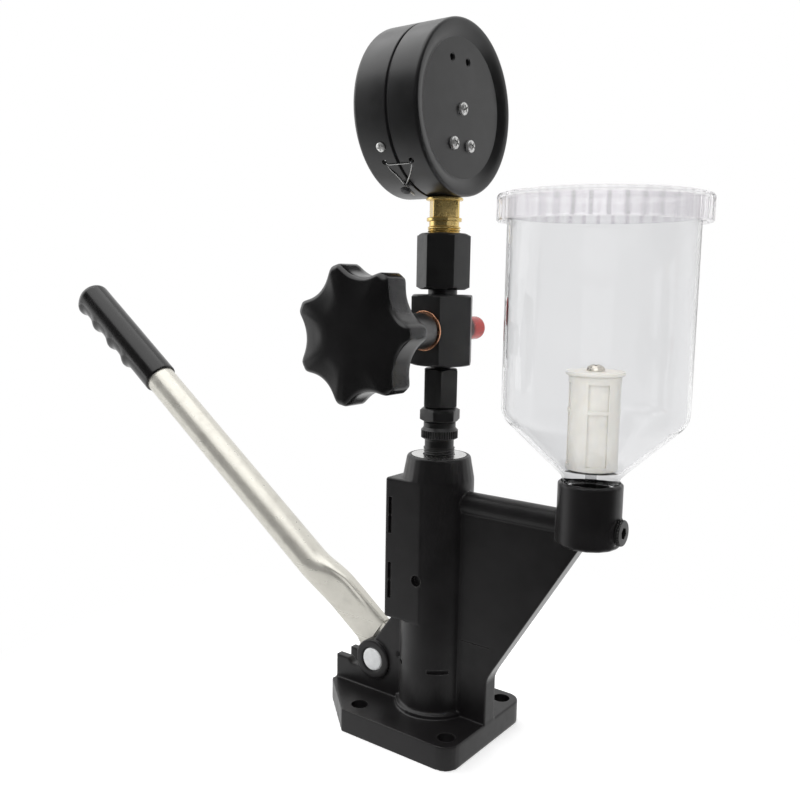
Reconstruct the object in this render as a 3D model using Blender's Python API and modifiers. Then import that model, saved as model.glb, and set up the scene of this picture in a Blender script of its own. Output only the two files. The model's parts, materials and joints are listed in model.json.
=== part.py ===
"""Hand-lever injector nozzle tester: cast stand with pump, shut-off valve, gauge and fuel cup.

Z is up, the column's axis is x = y = 0 and the base stands on z = 0. +X runs from the column to the
fuel cup, -X towards the lever's grip and -Y towards the valve's knob.
"""
import math

import bmesh
import bpy
from mathutils import Matrix, Vector

MM = 0.001
FULL_TURN = 2.0 * math.pi

# Clearances and fineness
GAP = 0.3 * MM
OVERSHOOT = 2.0 * MM
SINK = 1.0 * MM
FINE = 32
ROUND = 16
SMALL = 8

# Base plate
BASE_THICKNESS = 15.0 * MM
BASE_RIGHT = 42.6 * MM
BASE_LEFT = -74.6 * MM
BASE_SHOULDER_X = -40.5 * MM
BASE_HALF_WIDTH = 44.7 * MM
BASE_LEFT_HALF_WIDTH = 14.5 * MM
BASE_CORNER = 10.0 * MM
BASE_REAR_HALF_WIDTH = 42.5 * MM
BASE_HOLE_RADIUS = 5.5 * MM
BASE_HOLE_RIGHT_X = 31.9 * MM
BASE_HOLE_LEFT_X = -35.5 * MM
BASE_HOLE_Y = 32.5 * MM

# Column, its pad and its foot ring
ARM_Z = 151.3 * MM
COLUMN_ABOVE_ARM = 28.2 * MM
COLUMN_TOP = ARM_Z + COLUMN_ABOVE_ARM
COLUMN_RADIUS = 22.5 * MM
COLUMN_TOP_RADIUS = 20.0 * MM
COLUMN_CONE_HEIGHT = 14.5 * MM
COLUMN_TOP_BEVEL = 1.0 * MM
FOOT_RADIUS = 25.0 * MM
FOOT_HEIGHT = 2.5 * MM
PAD_LEFT = -24.6 * MM
PAD_RIGHT = 3.5 * MM
PAD_HALF_WIDTH = 22.6 * MM
PAD_BOTTOM = 74.3 * MM
PAD_BEVEL = 1.0 * MM
PAD_SLOT_INSET = 4.0 * MM
PAD_SLOT_WIDTH = 2.4 * MM
PAD_SLOT_HEIGHT = 23.4 * MM
PAD_SLOT_DEPTH = 3.0 * MM
PAD_SLOT_CENTRES = (99.0 * MM, 141.2 * MM)
SCREW_HOLE_RADIUS = 3.5 * MM
SCREW_HOLE_DEPTH = 3.0 * MM
SCREW_HOLE_X = -0.1 * MM
SCREW_HOLE_Z = 102.7 * MM
FOOT_SLOT_Z = 45.2 * MM
FOOT_SLOT_LENGTH = 14.0 * MM
FOOT_SLOT_HEIGHT = 2.6 * MM
FOOT_SLOT_DEPTH = 1.5 * MM
FOOT_SLOT_AZIMUTHS = (math.radians(40.0), math.radians(-50.0))

# Lever bracket
EAR_GAP = 9.3 * MM
EAR_THICKNESS = 5.8 * MM
EAR_LEFT_TOP = 31.0 * MM
EAR_CREST_X = -28.0 * MM
EAR_CREST_Z = 69.4 * MM
SLOT_ROOF = 3.0 * MM
EAR_NOTCH_DEPTH = 3.0 * MM
EAR_NOTCH_WIDTH = 5.0 * MM
PIVOT_X = -41.5 * MM
PIVOT_Z = 36.7 * MM
BOSS_RADIUS = 13.3 * MM
BOSS_PROUD = 2.4 * MM
PIN_RADIUS = 5.2 * MM
PIN_HEAD_RADIUS = 7.7 * MM
PIN_HEAD_HEIGHT = 2.4 * MM
CLIP_THICKNESS = 1.2 * MM
CLIP_RADIUS = 8.2 * MM
CLIP_GROOVE_RADIUS = 4.2 * MM

# Lever
LEVER_PLATE_THICKNESS = 8.0 * MM
LEVER_ANGLE = math.radians(35.35)
LEVER_OFFSET = 4.0 * MM
LEVER_TUBE_RADIUS = 11.5 * MM
LEVER_TUBE_WALL = 2.2 * MM
LEVER_LENGTH = 398.5 * MM
LEVER_FLAT_END = 48.0 * MM
LEVER_ROUND_START = 84.0 * MM
LEVER_FLAT_LOW = -6.5 * MM
LEVER_FLAT_HIGH = 21.2 * MM
LEVER_HEEL_RADIUS = 13.0 * MM
LEVER_STROKE = math.radians(15.0)
NOSE_ARM = 41.5 * MM
NOSE_RADIUS = 8.0 * MM
GRIP_LENGTH = 113.5 * MM
GRIP_WALL = 1.3 * MM
GRIP_END = 4.0 * MM
GRIP_RIDGES = 4
GRIP_RIDGE_PITCH = 23.5 * MM
GRIP_RIDGE_FIRST = 7.0 * MM
GRIP_RIDGE_DEPTH = 3.7 * MM
GRIP_RIDGE_LENGTH = 9.0 * MM

# Pump cylinder, barrel, plunger and tappet
INSERT_RADIUS = 17.3 * MM
INSERT_LENGTH = 67.5 * MM
BORE_FLOOR = 19.0 * MM
THREAD_RADIUS = 9.8 * MM
BARREL_HEAD_LENGTH = 24.0 * MM
BARREL_RADIUS = 6.2 * MM
BARREL_TAIL = 5.0 * MM
PLUNGER_RADIUS = 3.7 * MM
PLUNGER_TOP_BELOW_PORT = 3.0 * MM
PLUNGER_FOOT_RADIUS = 6.5 * MM
PLUNGER_FOOT_HEIGHT = 3.4 * MM
TAPPET_HEIGHT = 13.5 * MM
SEAT_THICKNESS = 2.5 * MM
SEAT_RADIUS = 14.5 * MM
SPRING_RADIUS = 11.6 * MM
SPRING_WIRE = 1.3 * MM
SPRING_TURNS = 7
PORT_RADIUS = 1.5 * MM

# Delivery valve
VALVE_SEAT_HEIGHT = 5.0 * MM
VALVE_STEM_RADIUS = 2.4 * MM
VALVE_HEAD_RADIUS = 4.2 * MM
VALVE_HEAD_HEIGHT = 5.0 * MM
VALVE_CHAMBER_RADIUS = 5.0 * MM
VALVE_SPRING_RADIUS = 3.2 * MM
VALVE_SPRING_WIRE = 0.5 * MM
VALVE_SPRING_TURNS = 5
HOLDER_GRIP_LENGTH = 11.0 * MM
HOLDER_THREAD_SHOWN = 4.5 * MM
HOLDER_NECK_LENGTH = 5.5 * MM
HOLDER_NECK_RADIUS = 9.1 * MM
HOLDER_RING_LENGTH = 6.5 * MM
HOLDER_RING_RADIUS = 11.5 * MM
HOLDER_SHANK_LENGTH = 4.2 * MM
HOLDER_SHANK_RADIUS = 10.0 * MM
NIPPLE_RADIUS = 6.4 * MM
PASSAGE_RADIUS = 1.5 * MM

# Union nut and riser
UNION_FLATS = 22.0 * MM
UNION_HEIGHT = 8.5 * MM
UNION_TURN = math.radians(-14.3)
RISER_FLATS = 20.0 * MM
RISER_HEIGHT = 24.2 * MM
RISER_TURN = math.radians(6.0)
RISER_NECK_LENGTH = 2.2 * MM
RISER_NECK_RADIUS = 6.1 * MM
RISER_STUB = 4.5 * MM
HEX_CHAMFER = 1.2 * MM

# Valve block and shut-off valve
BLOCK_FLATS = 36.0 * MM
BLOCK_HEIGHT = 43.0 * MM
BLOCK_CHAMFER = 1.2 * MM
BONNET_RADIUS = 9.6 * MM
BONNET_LENGTH = 33.0 * MM
BONNET_FLANGE_RADIUS = 11.3 * MM
BONNET_FLANGE = 2.2 * MM
BONNET_STUB_RADIUS = 7.7 * MM
BONNET_STUB_LENGTH = 8.0 * MM
WASHER_RADIUS = 12.0 * MM
WASHER_THICKNESS = 1.4 * MM
SPINDLE_RADIUS = 4.0 * MM
NEEDLE_RADIUS = 3.0 * MM
NEEDLE_LENGTH = 8.0 * MM
NEEDLE_TIP_RADIUS = 0.6 * MM
PACKING_RADIUS = 6.6 * MM
PACKING_LENGTH = 5.0 * MM
PACKING_INSET = 3.0 * MM
KNOB_FRONT = 91.0 * MM
KNOB_THICKNESS = 20.0 * MM
KNOB_RADIUS = 39.3 * MM
KNOB_VALLEY = 32.0 * MM
KNOB_SCALLOP_RADIUS = 20.0 * MM
KNOB_LOBES = 7
KNOB_FIRST_LOBE = math.radians(106.8)
KNOB_EDGE = 3.0 * MM
KNOB_HUB_RADIUS = 12.5 * MM
KNOB_HUB_LENGTH = 11.0 * MM
KNOB_WALL = 4.0 * MM
OUTLET_RADIUS = 5.7 * MM
OUTLET_FLANGE_RADIUS = 8.4 * MM
OUTLET_FLANGE = 3.0 * MM
OUTLET_LENGTH = 20.5 * MM
OUTLET_STUB = 8.0 * MM
CAP_RADIUS = 7.7 * MM
CAP_LENGTH = 18.4 * MM
CAP_END = 1.6 * MM

# Gauge coupling and brass socket
ADAPTER_FLATS = 28.5 * MM
ADAPTER_HEIGHT = 33.7 * MM
ADAPTER_TURN = math.radians(-33.0)
ADAPTER_NECK_LENGTH = 3.0 * MM
ADAPTER_NECK_RADIUS = 8.9 * MM
ADAPTER_STUB = 5.0 * MM
ADAPTER_SOCKET_DEPTH = 14.0 * MM
SOCKET_THREAD_RADIUS = 10.0 * MM
SOCKET_THREAD_SHOWN = 3.6 * MM
SOCKET_GROOVE_LENGTH = 3.3 * MM
SOCKET_GROOVE_RADIUS = 9.1 * MM
SOCKET_RING_LENGTH = 2.4 * MM
SOCKET_RING_RADIUS = 10.6 * MM
SOCKET_SQUARE_LENGTH = 10.1 * MM
SOCKET_SQUARE = 16.0 * MM
SOCKET_SQUARE_BEVEL = 1.6 * MM
SOCKET_FLANGE_LENGTH = 1.6 * MM
SOCKET_FLANGE_RADIUS = 11.2 * MM
SOCKET_SHANK_RADIUS = 5.6 * MM
SOCKET_BLOCK_TOP_BELOW_CENTRE = 15.0 * MM
SOCKET_BLOCK_HALF_WIDTH = 15.9 * MM
SOCKET_BLOCK_FRONT = -6.0 * MM

# Gauge case
CASE_RADIUS = 50.5 * MM
CASE_WALL = 2.7 * MM
CASE_BACK = 14.0 * MM
CASE_BACK_RECESS = 3.0 * MM
CASE_BACK_WALL = 3.0 * MM
CASE_RIM_WIDTH = 7.5 * MM
CASE_RIM_ROUND = 2.4 * MM
CASE_SPLIT = -7.0 * MM
CASE_FRONT = -31.6 * MM
BEZEL_LIP = 5.5 * MM
BEZEL_LIP_THICKNESS = 2.2 * MM
WINDOW_THICKNESS = 2.5 * MM
DIAL_X = -18.0 * MM
DIAL_THICKNESS = 1.0 * MM
POINTER_X = -21.0 * MM
POINTER_THICKNESS = 0.8 * MM
POINTER_TIP = 37.0 * MM
POINTER_TAIL = 12.0 * MM
POINTER_HALF_WIDTH = 1.6 * MM
POINTER_HUB_RADIUS = 4.0 * MM
ARBOR_RADIUS = 1.2 * MM
PINION_RADIUS = 3.0 * MM
PINION_LENGTH = 2.5 * MM
SECTOR_RADIUS = 16.7 * MM
SECTOR_THICKNESS = 1.5 * MM
SECTOR_HALF_ANGLE = math.radians(32.0)
SECTOR_REST = math.radians(24.3)
MOVEMENT_THICKNESS = 2.0 * MM
MOVEMENT_HALF_WIDTH = 12.0 * MM
MOVEMENT_TOP = 7.0 * MM
BOURDON_RADIUS = 34.0 * MM
BOURDON_TUBE_RADIUS = 3.2 * MM
BOURDON_START = math.radians(-58.0)
BOURDON_SWEEP = math.radians(256.0)
BOURDON_X = 1.5 * MM
VENT_RADIUS = 1.9 * MM
VENT_Z = 27.3 * MM
VENT_YS = (-11.5 * MM, 5.0 * MM)
BACK_SCREW_HEAD_RADIUS = 3.8 * MM
BACK_SCREW_HEAD_HEIGHT = 2.6 * MM
BACK_SCREW_RADIUS = 1.7 * MM
BACK_SCREW_LENGTH = 8.0 * MM
BACK_SCREW_LOW = 20.4 * MM
BACK_SCREW_SPREAD = 8.6 * MM
BEZEL_SCREW_X = -15.0 * MM
BEZEL_SCREW_ANGLE = math.radians(-120.0)
BEZEL_SCREW_HEAD_RADIUS = 2.8 * MM
BEZEL_SCREW_HEAD_HEIGHT = 1.3 * MM
BEZEL_SCREW_RADIUS = 1.4 * MM
WIRE_RADIUS = 0.4 * MM
WIRE_ANGLE = math.radians(-131.0)
WIRE_FRONT_X = -16.6 * MM
WIRE_BACK_X = 2.5 * MM
SEAL_ANGLE = math.radians(-153.7)
SEAL_X = -11.8 * MM
SEAL_RADIUS = 3.2 * MM
SEAL_THICKNESS = 2.4 * MM

# Arm, web and cup collar
CUP_X = 102.5 * MM
WEB_THICKNESS = 11.7 * MM
WEB_INSET = 0.2 * MM
WEB_FOOT_TOP = 42.0 * MM
WEB_BEND_X = 45.9 * MM
WEB_BEND_Z = 50.5 * MM
WEB_TOP_X = 101.2 * MM
WEB_TOP_BELOW_ARM = 10.3 * MM
ARM_RADIUS = 7.6 * MM
COLLAR_RADIUS = 18.1 * MM
COLLAR_BELOW_ARM = 10.0 * MM
COLLAR_ABOVE_ARM = 26.3 * MM
COLLAR_BEVEL = 1.2 * MM
COLLAR_BORE_DEPTH = 18.0 * MM
PASSAGE_BODY_RADIUS = 3.0 * MM
PLUG_BOSS_RADIUS = 8.6 * MM
PLUG_BOSS_PROUD = 0.15 * MM
PLUG_HEAD_RADIUS = 7.4 * MM
PLUG_HEAD_HEIGHT = 1.4 * MM
PLUG_RADIUS = 4.7 * MM
PLUG_LENGTH = 7.5 * MM
PLUG_SOCKET_FLATS = 6.0 * MM
PLUG_SOCKET_DEPTH = 2.0 * MM
PLUG_WASHER_THICKNESS = 0.6 * MM

# Fuel cup, lid and filter
STUB_RADIUS = 10.2 * MM
STUB_LENGTH = 16.0 * MM
NECK_RADIUS = 15.8 * MM
NECK_HEIGHT = 5.0 * MM
CUP_WALL = 2.0 * MM
CUP_RADIUS = 51.0 * MM
CUP_SHOULDER_RADIUS = 49.6 * MM
CUP_CONE_FOOT_RADIUS = 18.5 * MM
CUP_CONE_HEIGHT = 26.0 * MM
CUP_SHOULDER_HEIGHT = 9.0 * MM
CUP_WALL_HEIGHT = 113.0 * MM
CUP_OUTLET_RADIUS = 3.0 * MM
LID_OVERHANG = 5.9 * MM
LID_TOP_THICKNESS = 2.6 * MM
LID_SKIRT = 11.8 * MM
LID_SKIRT_WALL = 2.3 * MM
LID_INNER_WALL = 1.8 * MM
LID_DISC_RADIUS = 22.0 * MM
LID_DISC_HEIGHT = 3.5 * MM
O_RING_RADIUS = 1.2 * MM
O_RING_BELOW_TOP = 8.0 * MM
FILTER_RADIUS = 14.4 * MM
FILTER_WALL = 2.0 * MM
FILTER_HEIGHT = 54.0 * MM
FILTER_WINDOW_WIDTH = 11.0 * MM
FILTER_WINDOW_TURN = math.radians(34.0)
FILTER_WINDOWS_ROUND = 2
FILTER_WINDOW_ROWS = ((3.0 * MM, 31.5 * MM), (33.5 * MM, 47.5 * MM))
FILTER_FLANGE_RADIUS = 16.2 * MM
FILTER_FLANGE = 2.0 * MM
FILTER_SCREW_HEAD_RADIUS = 4.9 * MM
FILTER_SCREW_HEAD_HEIGHT = 3.3 * MM
FILTER_SCREW_RADIUS = 2.0 * MM
FILTER_SCREW_LENGTH = 6.0 * MM

# Heights that follow from the arm and the stack on the column
WEB_TOP_Z = ARM_Z - WEB_TOP_BELOW_ARM
COLLAR_BOTTOM = ARM_Z - COLLAR_BELOW_ARM
COLLAR_TOP = ARM_Z + COLLAR_ABOVE_ARM
HOLDER_BOTTOM = COLUMN_TOP - HOLDER_GRIP_LENGTH
VALVE_SEAT_BOTTOM = HOLDER_BOTTOM - GAP - VALVE_SEAT_HEIGHT
BARREL_TOP = VALVE_SEAT_BOTTOM - GAP
BARREL_SHOULDER = BARREL_TOP - BARREL_HEAD_LENGTH
INSERT_BOTTOM = COLUMN_TOP - INSERT_LENGTH
BARREL_BOTTOM = INSERT_BOTTOM - BARREL_TAIL
HOLDER_NECK_Z = COLUMN_TOP + HOLDER_THREAD_SHOWN
HOLDER_RING_Z = HOLDER_NECK_Z + HOLDER_NECK_LENGTH
HOLDER_SHANK_Z = HOLDER_RING_Z + HOLDER_RING_LENGTH
HOLDER_SHOULDER_Z = HOLDER_SHANK_Z + HOLDER_SHANK_LENGTH
UNION_Z = HOLDER_SHOULDER_Z + GAP
RISER_Z = UNION_Z + UNION_HEIGHT + GAP
RISER_TOP = RISER_Z + RISER_HEIGHT
BLOCK_Z = RISER_TOP + RISER_NECK_LENGTH
BLOCK_TOP = BLOCK_Z + BLOCK_HEIGHT
VALVE_Z = BLOCK_Z + BLOCK_HEIGHT / 2.0
ADAPTER_Z = BLOCK_TOP + ADAPTER_NECK_LENGTH
ADAPTER_TOP = ADAPTER_Z + ADAPTER_HEIGHT
SOCKET_FLANGE_Z = (ADAPTER_TOP + SOCKET_THREAD_SHOWN + SOCKET_GROOVE_LENGTH + SOCKET_RING_LENGTH
                   + SOCKET_SQUARE_LENGTH)
CASE_BOTTOM = SOCKET_FLANGE_Z + SOCKET_FLANGE_LENGTH + GAP
GAUGE_Z = CASE_BOTTOM + CASE_RADIUS

# Places that follow from the lever, the valve and the cup
EAR_INNER = EAR_GAP / 2.0
EAR_OUTER = EAR_INNER + EAR_THICKNESS
BOSS_FACE = EAR_OUTER + BOSS_PROUD
NOSE_DROP = LEVER_STROKE / 2.0
NOSE_X = PIVOT_X + NOSE_ARM * math.cos(NOSE_DROP)
NOSE_Z = PIVOT_Z - NOSE_ARM * math.sin(NOSE_DROP)
TAPPET_Z = NOSE_Z + NOSE_RADIUS + GAP
TAPPET_TOP = TAPPET_Z + TAPPET_HEIGHT
TAPPET_RADIUS = INSERT_RADIUS
SEAT_Z = TAPPET_TOP + GAP
SPRING_FOOT = SEAT_Z + SEAT_THICKNESS + GAP
SPRING_HEAD = INSERT_BOTTOM - GAP
PLUNGER_TOP = ARM_Z - PLUNGER_TOP_BELOW_PORT
BLOCK_FACE = BLOCK_FLATS / 2.0
WASHER_Y = BLOCK_FACE + GAP
BONNET_Y = WASHER_Y + WASHER_THICKNESS + GAP
BONNET_END = BONNET_Y + BONNET_LENGTH
NEEDLE_Y = BLOCK_FACE - BONNET_STUB_LENGTH - GAP
SPINDLE_Y = NEEDLE_Y + GAP
KNOB_BACK = KNOB_FRONT - KNOB_THICKNESS
SPINDLE_END = KNOB_FRONT - KNOB_WALL - GAP
PACKING_Y = BONNET_END - PACKING_INSET - PACKING_LENGTH
OUTLET_END = BLOCK_FACE + GAP + OUTLET_LENGTH
CAP_END_Y = OUTLET_END + GAP + CAP_END
CUP_NECK_Z = COLLAR_TOP + GAP
CUP_FLOOR_Z = CUP_NECK_Z + NECK_HEIGHT
CUP_SHOULDER_Z = CUP_FLOOR_Z + CUP_CONE_HEIGHT
CUP_WALL_Z = CUP_SHOULDER_Z + CUP_SHOULDER_HEIGHT
CUP_RIM_Z = CUP_WALL_Z + CUP_WALL_HEIGHT
LID_PLATE_Z = CUP_RIM_Z + GAP
LID_RADIUS = CUP_RADIUS + LID_OVERHANG
COLLAR_BORE_FLOOR = COLLAR_TOP - COLLAR_BORE_DEPTH
PLUG_BOSS_FACE = CUP_X + COLLAR_RADIUS + PLUG_BOSS_PROUD
PLUG_WASHER_X = PLUG_BOSS_FACE + GAP
PLUG_X = PLUG_WASHER_X + PLUG_WASHER_THICKNESS + GAP
CASE_INNER = CASE_RADIUS - CASE_WALL
CASE_DISC = CASE_BACK - CASE_BACK_RECESS
CASE_FLOOR = CASE_DISC - CASE_BACK_WALL
PLATE_BACK = SOCKET_BLOCK_FRONT - GAP
PLATE_FRONT = PLATE_BACK - MOVEMENT_THICKNESS
SECTOR_BACK = PLATE_FRONT - GAP
SECTOR_PIVOT = PINION_RADIUS + GAP + SECTOR_RADIUS

# Directions that a turned shape's own Z axis can point
UP = (0.0, 0.0, 0.0)
TO_FRONT = (math.pi / 2.0, 0.0, 0.0)
TO_REAR = (-math.pi / 2.0, 0.0, 0.0)
TO_RIGHT = (0.0, math.pi / 2.0, 0.0)

# Name: colour, roughness, metallic
FINISHES = {
    "black_paint": ((0.012, 0.012, 0.013), 0.42, 0.0),
    "black_steel": ((0.018, 0.018, 0.019), 0.38, 0.6),
    "bare_steel": ((0.62, 0.62, 0.60), 0.30, 1.0),
    "zinc_plate": ((0.70, 0.68, 0.60), 0.32, 1.0),
    "brass": ((0.72, 0.55, 0.22), 0.28, 1.0),
    "copper": ((0.72, 0.38, 0.24), 0.30, 1.0),
    "black_plastic": ((0.010, 0.010, 0.011), 0.25, 0.0),
    "black_rubber": ((0.012, 0.012, 0.012), 0.6, 0.0),
    "red_plastic": ((0.75, 0.09, 0.07), 0.3, 0.0),
    "clear_plastic": ((0.93, 0.93, 0.95), 0.08, 0.0),
    "ivory_plastic": ((0.86, 0.83, 0.74), 0.5, 0.0),
    "white_dial": ((0.90, 0.90, 0.88), 0.5, 0.0),
    "lead": ((0.12, 0.12, 0.13), 0.6, 0.8),
}


def make_collection(name):
    """Make a collection in the scene."""
    made = bpy.data.collections.new(name)
    bpy.context.scene.collection.children.link(made)
    return made


def make_material(name, colour, roughness, metallic):
    """Make one finish as a Principled BSDF."""
    made = bpy.data.materials.new(name)
    made.use_nodes = True
    shader = made.node_tree.nodes["Principled BSDF"]
    shader.inputs["Base Color"].default_value = (*colour, 1.0)
    shader.inputs["Roughness"].default_value = roughness
    shader.inputs["Metallic"].default_value = metallic
    made.diffuse_color = (*colour, 1.0)
    return made


for leftover in list(bpy.data.objects):
    bpy.data.objects.remove(leftover, do_unlink=True)
PARTS = make_collection("nozzle_tester")
CUTTERS = make_collection("cutters")
MATERIALS = {name: make_material(name, *values) for name, values in FINISHES.items()}
ROOT = bpy.data.objects.new("nozzle_tester_origin", None)
PARTS.objects.link(ROOT)


def smooth(mesh):
    """Shade a mesh smooth, with its corners kept sharp."""
    mesh.shade_smooth()
    mesh.set_sharp_from_angle(angle=math.radians(35.0))


def piece(name, mesh, finish, location=(0.0, 0.0, 0.0), rotation=UP):
    """Place a mesh as a sub-part."""
    made = bpy.data.objects.new(name, mesh)
    PARTS.objects.link(made)
    made.parent = ROOT
    made.location = location
    made.rotation_euler = rotation
    mesh.materials.append(MATERIALS[finish])
    return made


def tool(mesh, location=(0.0, 0.0, 0.0), rotation=UP):
    """Place a mesh that only cuts or joins."""
    made = bpy.data.objects.new("tool", mesh)
    CUTTERS.objects.link(made)
    made.location = location
    made.rotation_euler = rotation
    made.hide_render = True
    made.display_type = "WIRE"
    return made


def combine(target, operation, *tools):
    """Add one Boolean modifier to the target for each tool."""
    for other in tools:
        modifier = target.modifiers.new(operation.lower(), "BOOLEAN")
        modifier.operation = operation
        modifier.solver = "EXACT"
        modifier.object = other
    return target


def cut(target, *tools):
    """Cut the tools out of the target."""
    return combine(target, "DIFFERENCE", *tools)


def join(target, *tools):
    """Unite the tools with the target."""
    return combine(target, "UNION", *tools)


def weld(target):
    """Close the hairline edges that many cuts leave."""
    modifier = target.modifiers.new("weld", "WELD")
    modifier.merge_threshold = 0.00001
    return target


def mesh_from(build):
    """Run a function on a new bmesh and return the mesh."""
    work = bmesh.new()
    build(work)
    mesh = bpy.data.meshes.new("mesh")
    work.to_mesh(mesh)
    work.free()
    return mesh


def cylinder(radius, low, high, segments=ROUND, top_radius=None):
    """A cylinder or cone along Z from low to high, with a flat facing +Y."""
    place = Matrix.Translation((0.0, 0.0, (low + high) / 2.0)) @ Matrix.Rotation(math.pi / segments, 4, "Z")
    upper = radius if top_radius is None else top_radius

    def build(work):
        bmesh.ops.create_cone(work, cap_ends=True, segments=segments, radius1=radius, radius2=upper,
                              depth=high - low, matrix=place)

    mesh = mesh_from(build)
    smooth(mesh)
    return mesh


def box(low, high):
    """A box between two corners."""
    low = Vector(low)
    high = Vector(high)
    place = Matrix.Translation((low + high) / 2.0) @ Matrix.Diagonal((*(high - low), 1.0))
    return mesh_from(lambda work: bmesh.ops.create_cube(work, size=1.0, matrix=place))


def hexagon(flats, low, high):
    """A six-sided prism along Z, with flats facing +Y and -Y."""
    return cylinder(flats / math.sqrt(3.0), low, high, segments=6)


def spin(made, segments):
    """Turn an object's profile about its own Z axis."""
    modifier = made.modifiers.new("turn", "SCREW")
    modifier.axis = "Z"
    modifier.angle = FULL_TURN
    modifier.steps = segments
    modifier.render_steps = segments
    modifier.use_merge_vertices = True
    modifier.merge_threshold = 0.000001
    return made


def profile(points, closed):
    """A line of (radius, height) points, running down its outer side."""
    edges = [(index, index + 1) for index in range(len(points) - 1)]
    if closed:
        edges.append((len(points) - 1, 0))
    mesh = bpy.data.meshes.new("profile")
    mesh.from_pydata([(radius, 0.0, height) for radius, height in points], edges, [])
    return mesh


def turned(name, points, finish, location=(0.0, 0.0, 0.0), rotation=UP, segments=ROUND):
    """A turned sub-part: a ring where the profile stays off the axis, else a solid."""
    ring = min(radius for radius, _ in points) > 0.0
    return spin(piece(name, profile(points, ring), finish, location, rotation), segments)


def turned_tool(points, location=(0.0, 0.0, 0.0), rotation=UP, segments=ROUND):
    """A turned cutter or joining solid."""
    ring = min(radius for radius, _ in points) > 0.0
    return spin(tool(profile(points, ring), location, rotation), segments)


def ring_points(outer, inner, low, high):
    """The profile of a plain ring."""
    return [(outer, high), (outer, low), (inner, low), (inner, high)]


def arc(centre, radius, start, end, count):
    """Points on an arc in a plane, from one angle to another."""
    step = (end - start) / (count - 1)
    return [(centre[0] + radius * math.cos(start + step * index),
             centre[1] + radius * math.sin(start + step * index)) for index in range(count)]


def welded_mesh(made):
    """Turn a curve object into a closed mesh and remove the curve."""
    bpy.context.scene.collection.objects.link(made)
    graph = bpy.context.evaluated_depsgraph_get()
    mesh = bpy.data.meshes.new_from_object(made.evaluated_get(graph))
    curve = made.data
    bpy.data.objects.remove(made, do_unlink=True)
    bpy.data.curves.remove(curve)
    work = bmesh.new()
    work.from_mesh(mesh)
    bmesh.ops.remove_doubles(work, verts=work.verts, dist=0.00001)
    bmesh.ops.recalc_face_normals(work, faces=work.faces)
    work.to_mesh(mesh)
    work.free()
    mesh.materials.clear()
    smooth(mesh)
    return mesh


def plate(points, thickness, edge=0.0):
    """A flat outline in XY, thickened about z = 0, with rounded edges where edge is set."""
    curve = bpy.data.curves.new("outline", "CURVE")
    curve.dimensions = "2D"
    curve.fill_mode = "BOTH"
    curve.extrude = thickness / 2.0 - edge
    curve.bevel_depth = edge
    curve.bevel_resolution = 1
    curve.offset = -edge
    spline = curve.splines.new("POLY")
    spline.points.add(len(points) - 1)
    for point, (across, along) in zip(spline.points, points):
        point.co = (across, along, 0.0, 1.0)
    spline.use_cyclic_u = True
    return welded_mesh(bpy.data.objects.new("outline", curve))


def wire(points, radius, resolution=1):
    """A round tube with closed ends along a line of points."""
    curve = bpy.data.curves.new("wire", "CURVE")
    curve.dimensions = "3D"
    curve.bevel_depth = radius
    curve.bevel_resolution = resolution
    curve.use_fill_caps = True
    spline = curve.splines.new("POLY")
    spline.points.add(len(points) - 1)
    for point, place in zip(spline.points, points):
        point.co = (*place, 1.0)
    return welded_mesh(bpy.data.objects.new("wire", curve))


def helix(radius, wire_radius, low, high, turns):
    """A spring along Z whose wire lies between two heights."""
    per_turn = 8
    start = low + wire_radius
    rise = high - low - 2.0 * wire_radius
    points = []
    for index in range(turns * per_turn + 1):
        share = index / (turns * per_turn)
        angle = FULL_TURN * turns * share
        points.append((radius * math.cos(angle), radius * math.sin(angle), start + rise * share))
    nearest = min((Vector(points[index + per_turn]) - Vector(points[index])).length
                  for index in range(len(points) - per_turn))
    print(f"spring: least gap to itself {(nearest - 2.0 * wire_radius) / MM:.2f} mm")
    return wire(points, wire_radius)


def chamfered_hexagon(name, flats, low, high, chamfer, finish, turn=0.0):
    """A hexagon bar along the column's axis whose corners are turned off at both ends."""
    corner = flats / math.sqrt(3.0) + GAP
    inner = flats / 2.0 - chamfer / 2.0
    slope = chamfer
    made = piece(name, hexagon(flats, low, high), finish, rotation=(0.0, 0.0, turn))
    outline = [(0.0, high + GAP), (inner, high + GAP), (corner, high - slope),
               (corner, low + slope), (inner, low - GAP), (0.0, low - GAP)]
    return combine(made, "INTERSECT", turned_tool(outline, segments=FINE))


def base_outline():
    """The base plate seen from above."""
    right = BASE_RIGHT - BASE_CORNER
    front = BASE_HALF_WIDTH - BASE_CORNER
    rear = BASE_REAR_HALF_WIDTH - BASE_CORNER
    quarter = math.pi / 2.0
    return (arc((right, -front), BASE_CORNER, -quarter, 0.0, 6)
            + arc((right, rear), BASE_CORNER, 0.0, quarter, 6)
            + [(BASE_SHOULDER_X, BASE_REAR_HALF_WIDTH), (BASE_LEFT, BASE_LEFT_HALF_WIDTH),
               (BASE_LEFT, -BASE_LEFT_HALF_WIDTH), (BASE_SHOULDER_X, -BASE_HALF_WIDTH)])


def column_profile():
    """The column: a straight shaft, a cone and a bevelled top, from inside the base."""
    return [(0.0, COLUMN_TOP), (COLUMN_TOP_RADIUS - COLUMN_TOP_BEVEL, COLUMN_TOP),
            (COLUMN_TOP_RADIUS, COLUMN_TOP - COLUMN_TOP_BEVEL),
            (COLUMN_RADIUS, COLUMN_TOP - COLUMN_CONE_HEIGHT),
            (COLUMN_RADIUS, BASE_THICKNESS + FOOT_HEIGHT + SINK),
            (FOOT_RADIUS, BASE_THICKNESS + FOOT_HEIGHT),
            (FOOT_RADIUS, BASE_THICKNESS - SINK), (0.0, BASE_THICKNESS - SINK)]


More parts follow.
